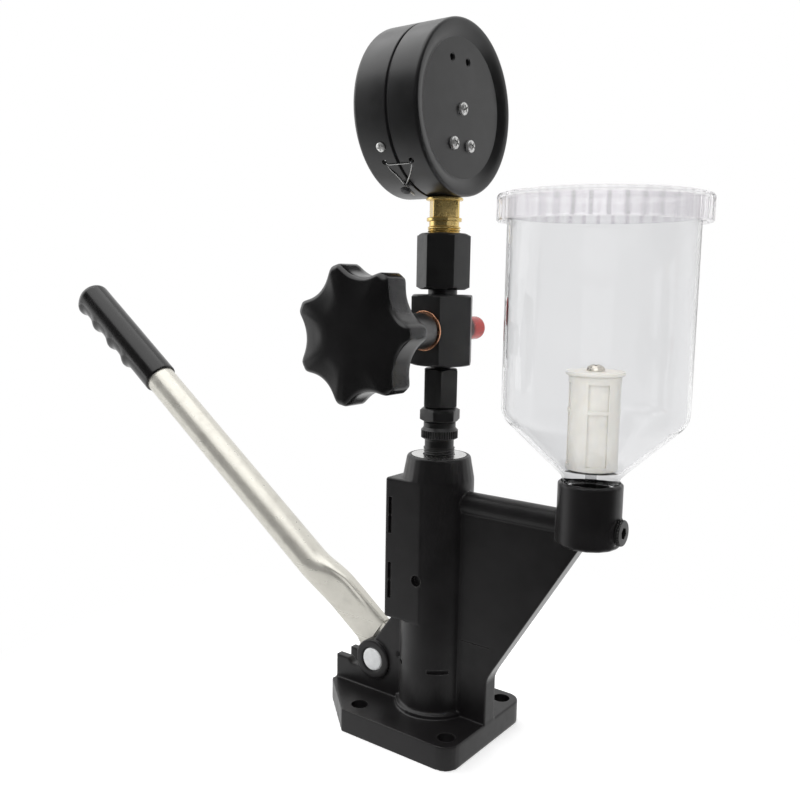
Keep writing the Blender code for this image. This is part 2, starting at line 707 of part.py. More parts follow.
def ear_outline():
    """One lever ear seen from -Y: (x, z) points from its left foot round over the boss."""
    notch_right = PIVOT_X - BOSS_RADIUS - SINK
    notch_left = notch_right - EAR_NOTCH_WIDTH
    notch_z = EAR_LEFT_TOP - EAR_NOTCH_DEPTH
    left = BASE_LEFT + WEB_INSET
    shoulder = math.radians(140.0)
    crest = math.radians(92.0)
    inner = -2.0 * SINK
    return ([(inner, BASE_THICKNESS - 2.0 * SINK), (inner, PAD_BOTTOM + 2.0 * SINK),
             (PAD_LEFT + SINK, PAD_BOTTOM + 2.0 * SINK), (EAR_CREST_X, EAR_CREST_Z)]
            + arc((PIVOT_X, PIVOT_Z), BOSS_RADIUS, crest, shoulder, 5)
            + [(notch_right, EAR_LEFT_TOP + EAR_NOTCH_DEPTH / 2.0), (notch_right, notch_z),
               (notch_left, notch_z), (notch_left - EAR_NOTCH_DEPTH, EAR_LEFT_TOP),
               (left, EAR_LEFT_TOP), (left, BASE_THICKNESS - 2.0 * SINK)])


def web_outline():
    """The web under the arm, seen from -Y: (x, z) points."""
    end = BASE_RIGHT - WEB_INSET
    rise = WEB_BEND_Z - WEB_FOOT_TOP
    run = WEB_BEND_X - end
    bend = []
    for index in range(6):
        share = index / 5.0
        bend.append((end + run * share ** 1.5, WEB_FOOT_TOP + rise * share))
    foot = BASE_THICKNESS - 3.0 * SINK
    top = ARM_Z + SINK
    return ([(SINK, foot), (end, foot)] + bend + [(WEB_TOP_X, WEB_TOP_Z), (CUP_X, top), (SINK, top)])


def make_body():
    """The casting: base, column, pad, ears, web, arm and collar in one, then its bores."""
    body = piece("pump_body", plate(base_outline(), BASE_THICKNESS), "black_paint",
                 location=(0.0, 0.0, BASE_THICKNESS / 2.0))
    pad = tool(box((PAD_LEFT, -PAD_HALF_WIDTH, PAD_BOTTOM),
                   (PAD_RIGHT, PAD_HALF_WIDTH, COLUMN_TOP - COLUMN_CONE_HEIGHT)))
    rounded = pad.modifiers.new("edges", "BEVEL")
    rounded.width = PAD_BEVEL
    rounded.segments = 2
    ears = tool(plate(ear_outline(), 2.0 * EAR_OUTER), (0.0, 0.0, 0.0), TO_FRONT)
    bosses = tool(cylinder(BOSS_RADIUS, -BOSS_FACE, BOSS_FACE), (PIVOT_X, 0.0, PIVOT_Z), TO_FRONT)
    web = tool(plate(web_outline(), WEB_THICKNESS), (0.0, 0.0, 0.0), TO_FRONT)
    arm = tool(cylinder(ARM_RADIUS, 2.0 * SINK, CUP_X + SINK), (0.0, 0.0, ARM_Z), TO_RIGHT)
    collar = turned_tool([(0.0, COLLAR_TOP), (COLLAR_RADIUS - COLLAR_BEVEL, COLLAR_TOP),
                          (COLLAR_RADIUS, COLLAR_TOP - COLLAR_BEVEL),
                          (COLLAR_RADIUS, COLLAR_BOTTOM + COLLAR_BEVEL),
                          (COLLAR_RADIUS - COLLAR_BEVEL, COLLAR_BOTTOM), (0.0, COLLAR_BOTTOM)],
                         (CUP_X, 0.0, 0.0))
    plug_boss = tool(cylinder(PLUG_BOSS_RADIUS, CUP_X, PLUG_BOSS_FACE), (0.0, 0.0, ARM_Z), TO_RIGHT)
    column = turned_tool(column_profile(), segments=FINE)
    weld(join(body, column, pad, ears, bosses, web, arm, collar, plug_boss))

    bore = tool(cylinder(INSERT_RADIUS + GAP, BORE_FLOOR, COLUMN_TOP + OVERSHOOT, FINE))
    slot = tool(box((BASE_LEFT - OVERSHOOT, -EAR_INNER, BASE_THICKNESS + SINK),
                    (0.0, EAR_INNER, PAD_BOTTOM - SLOT_ROOF)))
    pin_hole = tool(cylinder(PIN_RADIUS + GAP, -BOSS_FACE - OVERSHOOT, BOSS_FACE + OVERSHOOT),
                    (PIVOT_X, 0.0, PIVOT_Z), TO_FRONT)
    pin_seat = tool(cylinder(PIN_HEAD_RADIUS + GAP, BOSS_FACE - PIN_HEAD_HEIGHT - GAP, BOSS_FACE + OVERSHOOT),
                    (PIVOT_X, 0.0, PIVOT_Z), TO_FRONT)
    holes = [tool(cylinder(BASE_HOLE_RADIUS, -OVERSHOOT, BASE_THICKNESS + OVERSHOOT, ROUND),
                  (across, side, 0.0))
             for across in (BASE_HOLE_LEFT_X, BASE_HOLE_RIGHT_X) for side in (-BASE_HOLE_Y, BASE_HOLE_Y)]
    arm_axis = (0.0, 0.0, ARM_Z)
    passage = tool(cylinder(PASSAGE_BODY_RADIUS, 0.0, CUP_X + COLLAR_RADIUS, SMALL), arm_axis, TO_RIGHT)
    plug_floor = PLUG_X - PLUG_LENGTH - 2.0 * GAP
    plug_hole = tool(cylinder(PLUG_RADIUS + GAP, plug_floor, PLUG_BOSS_FACE + OVERSHOOT, ROUND),
                     arm_axis, TO_RIGHT)
    cup_bore = tool(cylinder(STUB_RADIUS + GAP, COLLAR_BORE_FLOOR, COLLAR_TOP + OVERSHOOT), (CUP_X, 0.0, 0.0))
    drain = PASSAGE_BODY_RADIUS - GAP
    cup_drain = tool(cylinder(drain, ARM_Z, COLLAR_BORE_FLOOR + OVERSHOOT, SMALL), (CUP_X, 0.0, 0.0))
    weld(cut(body, bore, slot, pin_hole, pin_seat))
    weld(cut(body, *holes))
    weld(cut(body, passage, plug_hole, cup_bore, cup_drain))

    front = -PAD_HALF_WIDTH - OVERSHOOT
    slot_x = PAD_LEFT + PAD_SLOT_INSET
    pad_slots = [tool(box((slot_x - PAD_SLOT_WIDTH / 2.0, front, middle - PAD_SLOT_HEIGHT / 2.0),
                          (slot_x + PAD_SLOT_WIDTH / 2.0, -PAD_HALF_WIDTH + PAD_SLOT_DEPTH,
                           middle + PAD_SLOT_HEIGHT / 2.0))) for middle in PAD_SLOT_CENTRES]
    screw_hole = tool(cylinder(SCREW_HOLE_RADIUS, COLUMN_RADIUS - SCREW_HOLE_DEPTH,
                               COLUMN_RADIUS + OVERSHOOT, SMALL),
                      (SCREW_HOLE_X, 0.0, SCREW_HOLE_Z), TO_FRONT)
    half_length = FOOT_SLOT_LENGTH / 2.0
    half_height = FOOT_SLOT_HEIGHT / 2.0
    foot_slots = [tool(box((-half_length, -COLUMN_RADIUS - OVERSHOOT, -half_height),
                           (half_length, -COLUMN_RADIUS + FOOT_SLOT_DEPTH, half_height)),
                       (0.0, 0.0, FOOT_SLOT_Z), (0.0, 0.0, azimuth)) for azimuth in FOOT_SLOT_AZIMUTHS]
    weld(cut(body, *pad_slots, screw_hole, *foot_slots))


def make_pump():
    """The steel insert, barrel, plunger, tappet and return spring inside the column."""
    bore = THREAD_RADIUS + GAP
    insert = turned("pump_cylinder",
                    [(INSERT_RADIUS, COLUMN_TOP), (INSERT_RADIUS, INSERT_BOTTOM),
                     (BARREL_RADIUS + GAP, INSERT_BOTTOM), (BARREL_RADIUS + GAP, BARREL_SHOULDER - GAP),
                     (bore, BARREL_SHOULDER - GAP), (bore, COLUMN_TOP)], "bare_steel", segments=FINE)
    port = tool(cylinder(PORT_RADIUS, PLUNGER_RADIUS + GAP, INSERT_RADIUS + OVERSHOOT, SMALL),
                (0.0, 0.0, ARM_Z), TO_RIGHT)
    cut(insert, port)
    inner = PLUNGER_RADIUS + GAP
    barrel = turned("pump_barrel",
                    [(THREAD_RADIUS, BARREL_TOP), (THREAD_RADIUS, BARREL_SHOULDER),
                     (BARREL_RADIUS, BARREL_SHOULDER), (BARREL_RADIUS, BARREL_BOTTOM),
                     (inner, BARREL_BOTTOM), (inner, BARREL_TOP)], "bare_steel")
    cut(barrel, tool(cylinder(PORT_RADIUS, PLUNGER_RADIUS, THREAD_RADIUS + OVERSHOOT, SMALL),
                     (0.0, 0.0, ARM_Z), TO_RIGHT))
    recess = TAPPET_TOP - PLUNGER_FOOT_HEIGHT - 2.0 * GAP
    foot = PLUNGER_FOOT_RADIUS + GAP
    turned("tappet", [(0.0, recess), (foot, recess), (foot, TAPPET_TOP), (TAPPET_RADIUS, TAPPET_TOP),
                      (TAPPET_RADIUS, TAPPET_Z), (0.0, TAPPET_Z)], "bare_steel", segments=FINE)
    low = recess + GAP
    turned("plunger", [(0.0, PLUNGER_TOP), (PLUNGER_RADIUS, PLUNGER_TOP),
                       (PLUNGER_RADIUS, low + PLUNGER_FOOT_HEIGHT),
                       (PLUNGER_FOOT_RADIUS, low + PLUNGER_FOOT_HEIGHT), (PLUNGER_FOOT_RADIUS, low),
                       (0.0, low)], "bare_steel")
    turned("spring_seat", ring_points(SEAT_RADIUS, inner, SEAT_Z, SEAT_Z + SEAT_THICKNESS), "bare_steel")
    piece("plunger_spring", helix(SPRING_RADIUS, SPRING_WIRE, SPRING_FOOT, SPRING_HEAD, SPRING_TURNS),
          "bare_steel")


def make_delivery_valve():
    """The delivery valve in its holder, the union nut and the riser above it."""
    stem = VALVE_STEM_RADIUS + GAP
    turned("delivery_valve_seat", ring_points(THREAD_RADIUS, stem, VALVE_SEAT_BOTTOM, HOLDER_BOTTOM - GAP),
           "bare_steel")
    head = HOLDER_BOTTOM + VALVE_HEAD_HEIGHT
    turned("delivery_valve", [(0.0, head), (VALVE_HEAD_RADIUS, head), (VALVE_HEAD_RADIUS, HOLDER_BOTTOM),
                              (VALVE_STEM_RADIUS, HOLDER_BOTTOM),
                              (VALVE_STEM_RADIUS, VALVE_SEAT_BOTTOM + GAP),
                              (0.0, VALVE_SEAT_BOTTOM + GAP)], "bare_steel", segments=ROUND)
    chamber = HOLDER_RING_Z
    piece("delivery_valve_spring", helix(VALVE_SPRING_RADIUS, VALVE_SPRING_WIRE, head + GAP, chamber - GAP,
                                         VALVE_SPRING_TURNS), "bare_steel")
    nipple_top = UNION_Z + UNION_HEIGHT / 2.0
    holder_points = [(NIPPLE_RADIUS, nipple_top), (NIPPLE_RADIUS, HOLDER_SHOULDER_Z),
                     (HOLDER_SHANK_RADIUS, HOLDER_SHOULDER_Z), (HOLDER_SHANK_RADIUS, HOLDER_SHANK_Z + SINK),
                     (HOLDER_RING_RADIUS, HOLDER_SHANK_Z), (HOLDER_RING_RADIUS, HOLDER_RING_Z + SINK),
                     (HOLDER_NECK_RADIUS, HOLDER_RING_Z), (HOLDER_NECK_RADIUS, HOLDER_NECK_Z),
                     (THREAD_RADIUS, HOLDER_NECK_Z - SINK), (THREAD_RADIUS, HOLDER_BOTTOM),
                     (VALVE_CHAMBER_RADIUS, HOLDER_BOTTOM), (VALVE_CHAMBER_RADIUS, chamber),
                     (PASSAGE_RADIUS, chamber), (PASSAGE_RADIUS, nipple_top)]
    turned("delivery_valve_holder", holder_points, "black_steel")
    nut = chamfered_hexagon("union_nut", UNION_FLATS, UNION_Z, UNION_Z + UNION_HEIGHT, HEX_CHAMFER,
                            "black_steel", UNION_TURN)
    cut(nut, tool(cylinder(NIPPLE_RADIUS + GAP, UNION_Z - OVERSHOOT, RISER_Z + OVERSHOOT)))
    riser = chamfered_hexagon("riser_connector", RISER_FLATS, RISER_Z, RISER_TOP, HEX_CHAMFER, "black_steel",
                              RISER_TURN)
    join(riser, tool(cylinder(NIPPLE_RADIUS, nipple_top + GAP, RISER_Z + SINK)),
         tool(cylinder(RISER_NECK_RADIUS, RISER_TOP - SINK, BLOCK_Z + RISER_STUB)))
    cut(riser, tool(cylinder(PASSAGE_RADIUS, nipple_top - OVERSHOOT, BLOCK_TOP, SMALL)))


def make_lever():
    """The flattened tube with its nose, its grip, and the pivot pin with its clip."""
    along = Vector((-math.cos(LEVER_ANGLE), 0.0, math.sin(LEVER_ANGLE)))
    across = Vector((math.sin(LEVER_ANGLE), 0.0, math.cos(LEVER_ANGLE)))
    half = LEVER_PLATE_THICKNESS / 2.0
    flat_centre = (LEVER_FLAT_LOW + LEVER_FLAT_HIGH) / 2.0
    flat_half = (LEVER_FLAT_HIGH - LEVER_FLAT_LOW) / 2.0

    def section(reach, share):
        """Points round the tube where it is flat (share 0), round (share 1) or between."""
        centre = along * reach + across * (flat_centre + (LEVER_OFFSET - flat_centre) * share)
        wide = flat_half + (LEVER_TUBE_RADIUS - flat_half) * share
        thick = half + (LEVER_TUBE_RADIUS - half) * share
        power = 0.35 + 0.65 * share
        points = []
        for index in range(ROUND):
            angle = FULL_TURN * index / ROUND
            side = math.copysign(abs(math.cos(angle)) ** power, math.cos(angle))
            front = math.copysign(abs(math.sin(angle)) ** power, math.sin(angle))
            points.append(centre + across * (wide * side) + Vector((0.0, thick * front, 0.0)))
        return points

    def build(work):
        """Loft from the flattened end to the round tube."""
        steps = 6
        stations = [(LEVER_FLAT_END - 2.0 * SINK, 0.0)]
        for index in range(steps + 1):
            share = index / steps
            reach = LEVER_FLAT_END + (LEVER_ROUND_START - LEVER_FLAT_END) * share
            stations.append((reach, share * share * (3.0 - 2.0 * share)))
        stations.append((LEVER_LENGTH - GRIP_END - GAP, 1.0))
        rings = [[work.verts.new(point) for point in section(*station)] for station in stations]
        for near, far in zip(rings, rings[1:]):
            for index in range(ROUND):
                after = (index + 1) % ROUND
                work.faces.new((near[index], near[after], far[after], far[index]))
        work.faces.new(rings[0])
        work.faces.new(rings[-1])
        bmesh.ops.recalc_face_normals(work, faces=work.faces)

    def local(reach, offset):
        """A plate corner: along the lever and across it, in (x, z) from the pivot."""
        place = along * reach + across * offset
        return (place.x, place.z)

    nose = (NOSE_X - PIVOT_X, NOSE_Z - PIVOT_Z)
    flank = -(INSERT_RADIUS + 2.0 * GAP) - PIVOT_X
    heel = arc((0.0, 0.0), LEVER_HEEL_RADIUS, math.pi + LEVER_ANGLE, 1.5 * math.pi, 5)
    outline = ([local(LEVER_FLAT_END, LEVER_FLAT_HIGH), local(LEVER_FLAT_END, LEVER_FLAT_LOW)]
               + heel + arc(nose, NOSE_RADIUS, -0.5 * math.pi, 0.5 * math.pi, 13)
               + [(flank, nose[1] + NOSE_RADIUS - SINK), (flank - NOSE_RADIUS, LEVER_HEEL_RADIUS + SINK),
                  local(0.0, LEVER_FLAT_HIGH), local(LEVER_FLAT_END / 2.0, LEVER_FLAT_HIGH)])
    tube = mesh_from(build)
    smooth(tube)
    pivot = (PIVOT_X, 0.0, PIVOT_Z)
    lever = piece("lever", tube, "zinc_plate", pivot)
    join(lever, tool(plate(outline, LEVER_PLATE_THICKNESS), pivot, TO_FRONT))
    tilt = (0.0, LEVER_ANGLE - math.pi / 2.0, 0.0)
    tube_foot = Vector(pivot) + across * LEVER_OFFSET
    cut(lever, tool(cylinder(LEVER_TUBE_RADIUS - LEVER_TUBE_WALL, LEVER_ROUND_START, LEVER_LENGTH, ROUND),
                    tube_foot, tilt),
        tool(cylinder(PIN_RADIUS + GAP, -EAR_INNER, EAR_INNER), pivot, TO_FRONT))

    inside = LEVER_TUBE_RADIUS + GAP
    outside = inside + GRIP_WALL
    start = LEVER_LENGTH - GRIP_LENGTH
    grip = turned("lever_grip",
                  [(0.0, LEVER_LENGTH), (outside - GRIP_END, LEVER_LENGTH),
                   (outside - GRIP_END * 0.3, LEVER_LENGTH - GRIP_END * 0.3),
                   (outside, LEVER_LENGTH - GRIP_END), (outside, start), (0.0, start)],
                  "black_rubber", tube_foot, tilt)
    half_ridge = GRIP_RIDGE_LENGTH / 2.0
    lens = [(0.0, half_ridge), (outside - half_ridge, half_ridge), (outside, SINK), (outside, -SINK),
            (outside - half_ridge, -half_ridge), (0.0, -half_ridge)]
    for index in range(GRIP_RIDGES):
        reach = LEVER_LENGTH - GRIP_RIDGE_FIRST - GRIP_RIDGE_PITCH * index
        join(grip, turned_tool(lens, tube_foot + along * reach - across * GRIP_RIDGE_DEPTH, tilt))
    cut(grip, tool(cylinder(inside, start - OVERSHOOT, LEVER_LENGTH - GRIP_END), tube_foot, tilt))

    clip_low = BOSS_FACE + GAP
    clip_high = clip_low + CLIP_THICKNESS
    turned("pivot_pin", [(0.0, BOSS_FACE), (PIN_HEAD_RADIUS, BOSS_FACE),
                         (PIN_HEAD_RADIUS, BOSS_FACE - PIN_HEAD_HEIGHT),
                         (PIN_RADIUS, BOSS_FACE - PIN_HEAD_HEIGHT), (PIN_RADIUS, -clip_low + GAP),
                         (CLIP_GROOVE_RADIUS, -clip_low + GAP), (CLIP_GROOVE_RADIUS, -clip_high - GAP),
                         (PIN_RADIUS, -clip_high - GAP), (PIN_RADIUS, -clip_high - SINK),
                         (0.0, -clip_high - SINK)], "bare_steel", pivot, TO_FRONT)
    turned("pivot_clip", ring_points(CLIP_RADIUS, CLIP_GROOVE_RADIUS + GAP, clip_low, clip_high),
           "black_steel", pivot, TO_REAR)


def make_valve():
    """The valve block, the shut-off valve with its knob, and the capped outlet."""
    block = chamfered_hexagon("valve_block", BLOCK_FLATS, BLOCK_Z, BLOCK_TOP, BLOCK_CHAMFER, "black_steel")
    axis = (0.0, 0.0, VALVE_Z)
    face = BLOCK_FACE + OVERSHOOT
    cut(block,
        tool(cylinder(RISER_NECK_RADIUS + GAP, BLOCK_Z - OVERSHOOT, BLOCK_Z + RISER_STUB + GAP)),
        tool(cylinder(ADAPTER_NECK_RADIUS + GAP, BLOCK_TOP - ADAPTER_STUB - GAP, BLOCK_TOP + OVERSHOOT)),
        tool(cylinder(PASSAGE_RADIUS, BLOCK_Z, BLOCK_TOP, SMALL)),
        tool(cylinder(BONNET_STUB_RADIUS + GAP, BLOCK_FACE - BONNET_STUB_LENGTH - GAP, face), axis, TO_FRONT),
        tool(cylinder(NEEDLE_RADIUS + GAP, 0.0, face, SMALL), axis, TO_FRONT),
        tool(cylinder(OUTLET_RADIUS + GAP, BLOCK_FACE - OUTLET_STUB - GAP, face, ROUND), axis, TO_REAR),
        tool(cylinder(PASSAGE_RADIUS, -OVERSHOOT, face, SMALL), axis, TO_REAR))

    bore = SPINDLE_RADIUS + GAP
    packing_bore = PACKING_RADIUS + GAP
    turned("bonnet_washer", ring_points(WASHER_RADIUS, BONNET_STUB_RADIUS + GAP, WASHER_Y,
                                        WASHER_Y + WASHER_THICKNESS), "copper", axis, TO_FRONT)
    turned("valve_bonnet",
           [(BONNET_RADIUS - SINK, BONNET_END), (BONNET_RADIUS, BONNET_END - SINK),
            (BONNET_RADIUS, BONNET_Y + BONNET_FLANGE), (BONNET_FLANGE_RADIUS, BONNET_Y + BONNET_FLANGE),
            (BONNET_FLANGE_RADIUS, BONNET_Y), (BONNET_STUB_RADIUS, BONNET_Y),
            (BONNET_STUB_RADIUS, BLOCK_FACE - BONNET_STUB_LENGTH),
            (bore, BLOCK_FACE - BONNET_STUB_LENGTH), (bore, PACKING_Y), (packing_bore, PACKING_Y),
            (packing_bore, BONNET_END)], "black_steel", axis, TO_FRONT)
    turned("gland_packing", ring_points(PACKING_RADIUS, bore, PACKING_Y + GAP, PACKING_Y + PACKING_LENGTH),
           "black_rubber", axis, TO_FRONT)
    turned("valve_needle", [(0.0, NEEDLE_Y), (NEEDLE_RADIUS, NEEDLE_Y),
                            (NEEDLE_RADIUS, NEEDLE_Y - NEEDLE_LENGTH / 2.0),
                            (NEEDLE_TIP_RADIUS, NEEDLE_Y - NEEDLE_LENGTH), (0.0, NEEDLE_Y - NEEDLE_LENGTH)],
           "bare_steel", axis, TO_FRONT, SMALL)
    turned("valve_spindle", [(0.0, SPINDLE_END), (SPINDLE_RADIUS, SPINDLE_END), (SPINDLE_RADIUS, SPINDLE_Y),
                             (0.0, SPINDLE_Y)], "bare_steel", axis, TO_FRONT)

    outline = []
    steps = 10
    centre = KNOB_VALLEY + KNOB_SCALLOP_RADIUS
    for index in range(KNOB_LOBES * steps):
        angle = FULL_TURN * index / (KNOB_LOBES * steps)
        swing = math.pi / KNOB_LOBES - angle % (FULL_TURN / KNOB_LOBES)
        reach = KNOB_SCALLOP_RADIUS ** 2 - (centre * math.sin(swing)) ** 2
        radius = KNOB_RADIUS
        if reach > 0.0:
            radius = min(radius, centre * math.cos(swing) - math.sqrt(reach))
        facing = angle + KNOB_FIRST_LOBE
        outline.append((radius * math.cos(facing), radius * math.sin(facing)))
    knob = piece("star_knob", plate(outline, KNOB_THICKNESS, KNOB_EDGE), "black_plastic",
                 (0.0, -KNOB_FRONT + KNOB_THICKNESS / 2.0, VALVE_Z), TO_FRONT)
    hub_foot = KNOB_BACK - KNOB_HUB_LENGTH
    join(knob, tool(cylinder(KNOB_HUB_RADIUS, hub_foot, KNOB_BACK + SINK), axis, TO_FRONT))
    cut(knob, tool(cylinder(bore, hub_foot - OVERSHOOT, SPINDLE_END + GAP), axis, TO_FRONT))

    flange = BLOCK_FACE + GAP
    turned("outlet_nipple",
           [(OUTLET_RADIUS - SINK, OUTLET_END), (OUTLET_RADIUS, OUTLET_END - SINK),
            (OUTLET_RADIUS, flange + OUTLET_FLANGE), (OUTLET_FLANGE_RADIUS, flange + OUTLET_FLANGE),
            (OUTLET_FLANGE_RADIUS, flange), (OUTLET_RADIUS, flange),
            (OUTLET_RADIUS, BLOCK_FACE - OUTLET_STUB), (PASSAGE_RADIUS, BLOCK_FACE - OUTLET_STUB),
            (PASSAGE_RADIUS, OUTLET_END)], "black_steel", axis, TO_REAR, ROUND)
    mouth = CAP_END_Y - CAP_LENGTH
    inside = OUTLET_RADIUS + GAP
    turned("dust_cap", [(0.0, CAP_END_Y), (CAP_RADIUS - SINK, CAP_END_Y), (CAP_RADIUS, CAP_END_Y - SINK),
                        (CAP_RADIUS, mouth), (inside, mouth), (inside, CAP_END_Y - CAP_END),
                        (0.0, CAP_END_Y - CAP_END)], "red_plastic", axis, TO_REAR, ROUND)


def make_gauge_mount():
    """The hexagon coupling, its washer and the brass socket that carries the gauge."""
    adapter = chamfered_hexagon("gauge_adapter", ADAPTER_FLATS, ADAPTER_Z, ADAPTER_TOP, HEX_CHAMFER,
                                "black_steel", ADAPTER_TURN)
    floor = ADAPTER_TOP - ADAPTER_SOCKET_DEPTH
    join(adapter, tool(cylinder(ADAPTER_NECK_RADIUS, BLOCK_TOP - ADAPTER_STUB, ADAPTER_Z + SINK)))
    cut(adapter, tool(cylinder(SOCKET_THREAD_RADIUS + GAP, floor, ADAPTER_TOP + OVERSHOOT)),
        tool(cylinder(PASSAGE_RADIUS, BLOCK_TOP - ADAPTER_STUB - OVERSHOOT, floor + OVERSHOOT, SMALL)))
    turned("gauge_washer", ring_points(SOCKET_THREAD_RADIUS, 2.0 * PASSAGE_RADIUS, floor + GAP,
                                       floor + GAP + WASHER_THICKNESS), "copper")

    thread_foot = floor + WASHER_THICKNESS + 2.0 * GAP
    thread_top = ADAPTER_TOP + SOCKET_THREAD_SHOWN
    groove_top = thread_top + SOCKET_GROOVE_LENGTH
    ring_top = groove_top + SOCKET_RING_LENGTH
    flange_top = SOCKET_FLANGE_Z + SOCKET_FLANGE_LENGTH
    block_foot = CASE_BOTTOM + CASE_WALL + 4.0 * SINK
    core = SOCKET_SQUARE / 2.0 - SINK
    socket = turned("gauge_socket",
                    [(0.0, block_foot + SINK), (SOCKET_SHANK_RADIUS, block_foot + SINK),
                     (SOCKET_SHANK_RADIUS, flange_top), (SOCKET_FLANGE_RADIUS, flange_top),
                     (SOCKET_FLANGE_RADIUS, SOCKET_FLANGE_Z), (core, SOCKET_FLANGE_Z), (core, ring_top),
                     (SOCKET_RING_RADIUS, ring_top), (SOCKET_RING_RADIUS, groove_top),
                     (SOCKET_GROOVE_RADIUS, groove_top), (SOCKET_GROOVE_RADIUS, thread_top),
                     (SOCKET_THREAD_RADIUS, thread_top), (SOCKET_THREAD_RADIUS, thread_foot),
                     (0.0, thread_foot)], "brass")
    flats = tool(box((-SOCKET_SQUARE / 2.0, -SOCKET_SQUARE / 2.0, ring_top - SINK / 2.0),
                     (SOCKET_SQUARE / 2.0, SOCKET_SQUARE / 2.0, SOCKET_FLANGE_Z + SINK / 2.0)),
                 rotation=(0.0, 0.0, math.pi / 4.0))
    corners = flats.modifiers.new("corners", "BEVEL")
    corners.width = SOCKET_SQUARE_BEVEL
    corners.segments = 2
    block = tool(box((SOCKET_BLOCK_FRONT, -SOCKET_BLOCK_HALF_WIDTH, block_foot),
                     (CASE_FLOOR - GAP, SOCKET_BLOCK_HALF_WIDTH, GAUGE_Z - SOCKET_BLOCK_TOP_BELOW_CENTRE)))
    join(socket, flats, block)
    depth = CASE_DISC - BACK_SCREW_LENGTH - GAP
    screw_holes = [tool(cylinder(BACK_SCREW_RADIUS + GAP, depth, CASE_FLOOR + OVERSHOOT, SMALL),
                        (0.0, side * BACK_SCREW_SPREAD, GAUGE_Z - BACK_SCREW_LOW), TO_RIGHT)
                   for side in (-1.0, 1.0)]
    cut(socket, tool(cylinder(PASSAGE_RADIUS, thread_foot - OVERSHOOT, block_foot + SOCKET_SQUARE, SMALL)),
        *screw_holes)


def make_gauge_case():
    """The gauge's case, bezel, window, dial and the screws that show."""
    centre = (0.0, 0.0, GAUGE_Z)
    rim = CASE_RADIUS - CASE_RIM_WIDTH
    case = turned("gauge_case",
                  [(0.0, CASE_DISC), (rim - CASE_BACK_RECESS, CASE_DISC), (rim, CASE_BACK),
                   (CASE_RADIUS - CASE_RIM_ROUND, CASE_BACK),
                   (CASE_RADIUS - CASE_RIM_ROUND * 0.3, CASE_BACK - CASE_RIM_ROUND * 0.3),
                   (CASE_RADIUS, CASE_BACK - CASE_RIM_ROUND), (CASE_RADIUS, CASE_SPLIT + GAP),
                   (CASE_INNER, CASE_SPLIT + GAP), (CASE_INNER, CASE_FLOOR), (0.0, CASE_FLOOR)],
                  "black_paint", centre, TO_RIGHT, FINE)
    stem = tool(cylinder(SOCKET_SHANK_RADIUS + GAP, CASE_BOTTOM - OVERSHOOT,
                         CASE_BOTTOM + CASE_WALL + OVERSHOOT))
    through = (CASE_FLOOR - OVERSHOOT, CASE_BACK)
    vents = [tool(cylinder(VENT_RADIUS, *through, SMALL), (0.0, side, GAUGE_Z + VENT_Z), TO_RIGHT)
             for side in VENT_YS]
    places = {"back_screw_centre": (0.0, 0.0), "back_screw_left": (-BACK_SCREW_SPREAD, -BACK_SCREW_LOW),
              "back_screw_right": (BACK_SCREW_SPREAD, -BACK_SCREW_LOW)}
    head = CASE_DISC + GAP
    for name, (side, height) in places.items():
        place = (0.0, side, GAUGE_Z + height)
        cut(case, tool(cylinder(BACK_SCREW_RADIUS + GAP, *through, SMALL), place, TO_RIGHT))
        turned(name, [(0.0, head + BACK_SCREW_HEAD_HEIGHT),
                      (BACK_SCREW_HEAD_RADIUS * 0.7, head + BACK_SCREW_HEAD_HEIGHT * 0.8),
                      (BACK_SCREW_HEAD_RADIUS, head + BACK_SCREW_HEAD_HEIGHT * 0.3),
                      (BACK_SCREW_HEAD_RADIUS, head), (BACK_SCREW_RADIUS, head),
                      (BACK_SCREW_RADIUS, CASE_DISC - BACK_SCREW_LENGTH),
                      (0.0, CASE_DISC - BACK_SCREW_LENGTH)], "zinc_plate", place, TO_RIGHT, SMALL)
    cut(case, stem, *vents)

    lip = CASE_RADIUS - BEZEL_LIP
    lip_back = CASE_FRONT + BEZEL_LIP_THICKNESS
    bezel = turned("gauge_bezel",
                   [(CASE_RADIUS, CASE_SPLIT), (CASE_RADIUS, CASE_FRONT + CASE_RIM_ROUND),
                    (CASE_RADIUS - CASE_RIM_ROUND, CASE_FRONT), (lip, CASE_FRONT), (lip, lip_back),
                    (CASE_INNER, lip_back), (CASE_INNER, CASE_SPLIT)], "black_paint", centre, TO_RIGHT, FINE)
    turn = (-BEZEL_SCREW_ANGLE, 0.0, 0.0)
    foot = CASE_RADIUS - CASE_WALL
    screw_place = (BEZEL_SCREW_X, 0.0, GAUGE_Z)
    cut(bezel, tool(cylinder(BEZEL_SCREW_RADIUS + GAP, foot - OVERSHOOT, CASE_RADIUS + OVERSHOOT, SMALL),
                    screw_place, turn))
    top = CASE_RADIUS + GAP
    turned("bezel_screw", [(0.0, top + BEZEL_SCREW_HEAD_HEIGHT),
                           (BEZEL_SCREW_HEAD_RADIUS * 0.75, top + BEZEL_SCREW_HEAD_HEIGHT),
                           (BEZEL_SCREW_HEAD_RADIUS, top), (BEZEL_SCREW_RADIUS, top),
                           (BEZEL_SCREW_RADIUS, foot), (0.0, foot)], "zinc_plate", screw_place, turn, SMALL)

    window_front = lip_back + GAP
    window_back = window_front + WINDOW_THICKNESS
    turned("gauge_window", [(0.0, window_back), (CASE_INNER - GAP, window_back),
                            (CASE_INNER - GAP, window_front), (0.0, window_front)], "clear_plastic", centre,
           TO_RIGHT, FINE)
    turned("gauge_dial", ring_points(CASE_INNER - GAP, ARBOR_RADIUS + GAP, DIAL_X, DIAL_X + DIAL_THICKNESS),
           "white_dial", centre, TO_RIGHT, FINE)


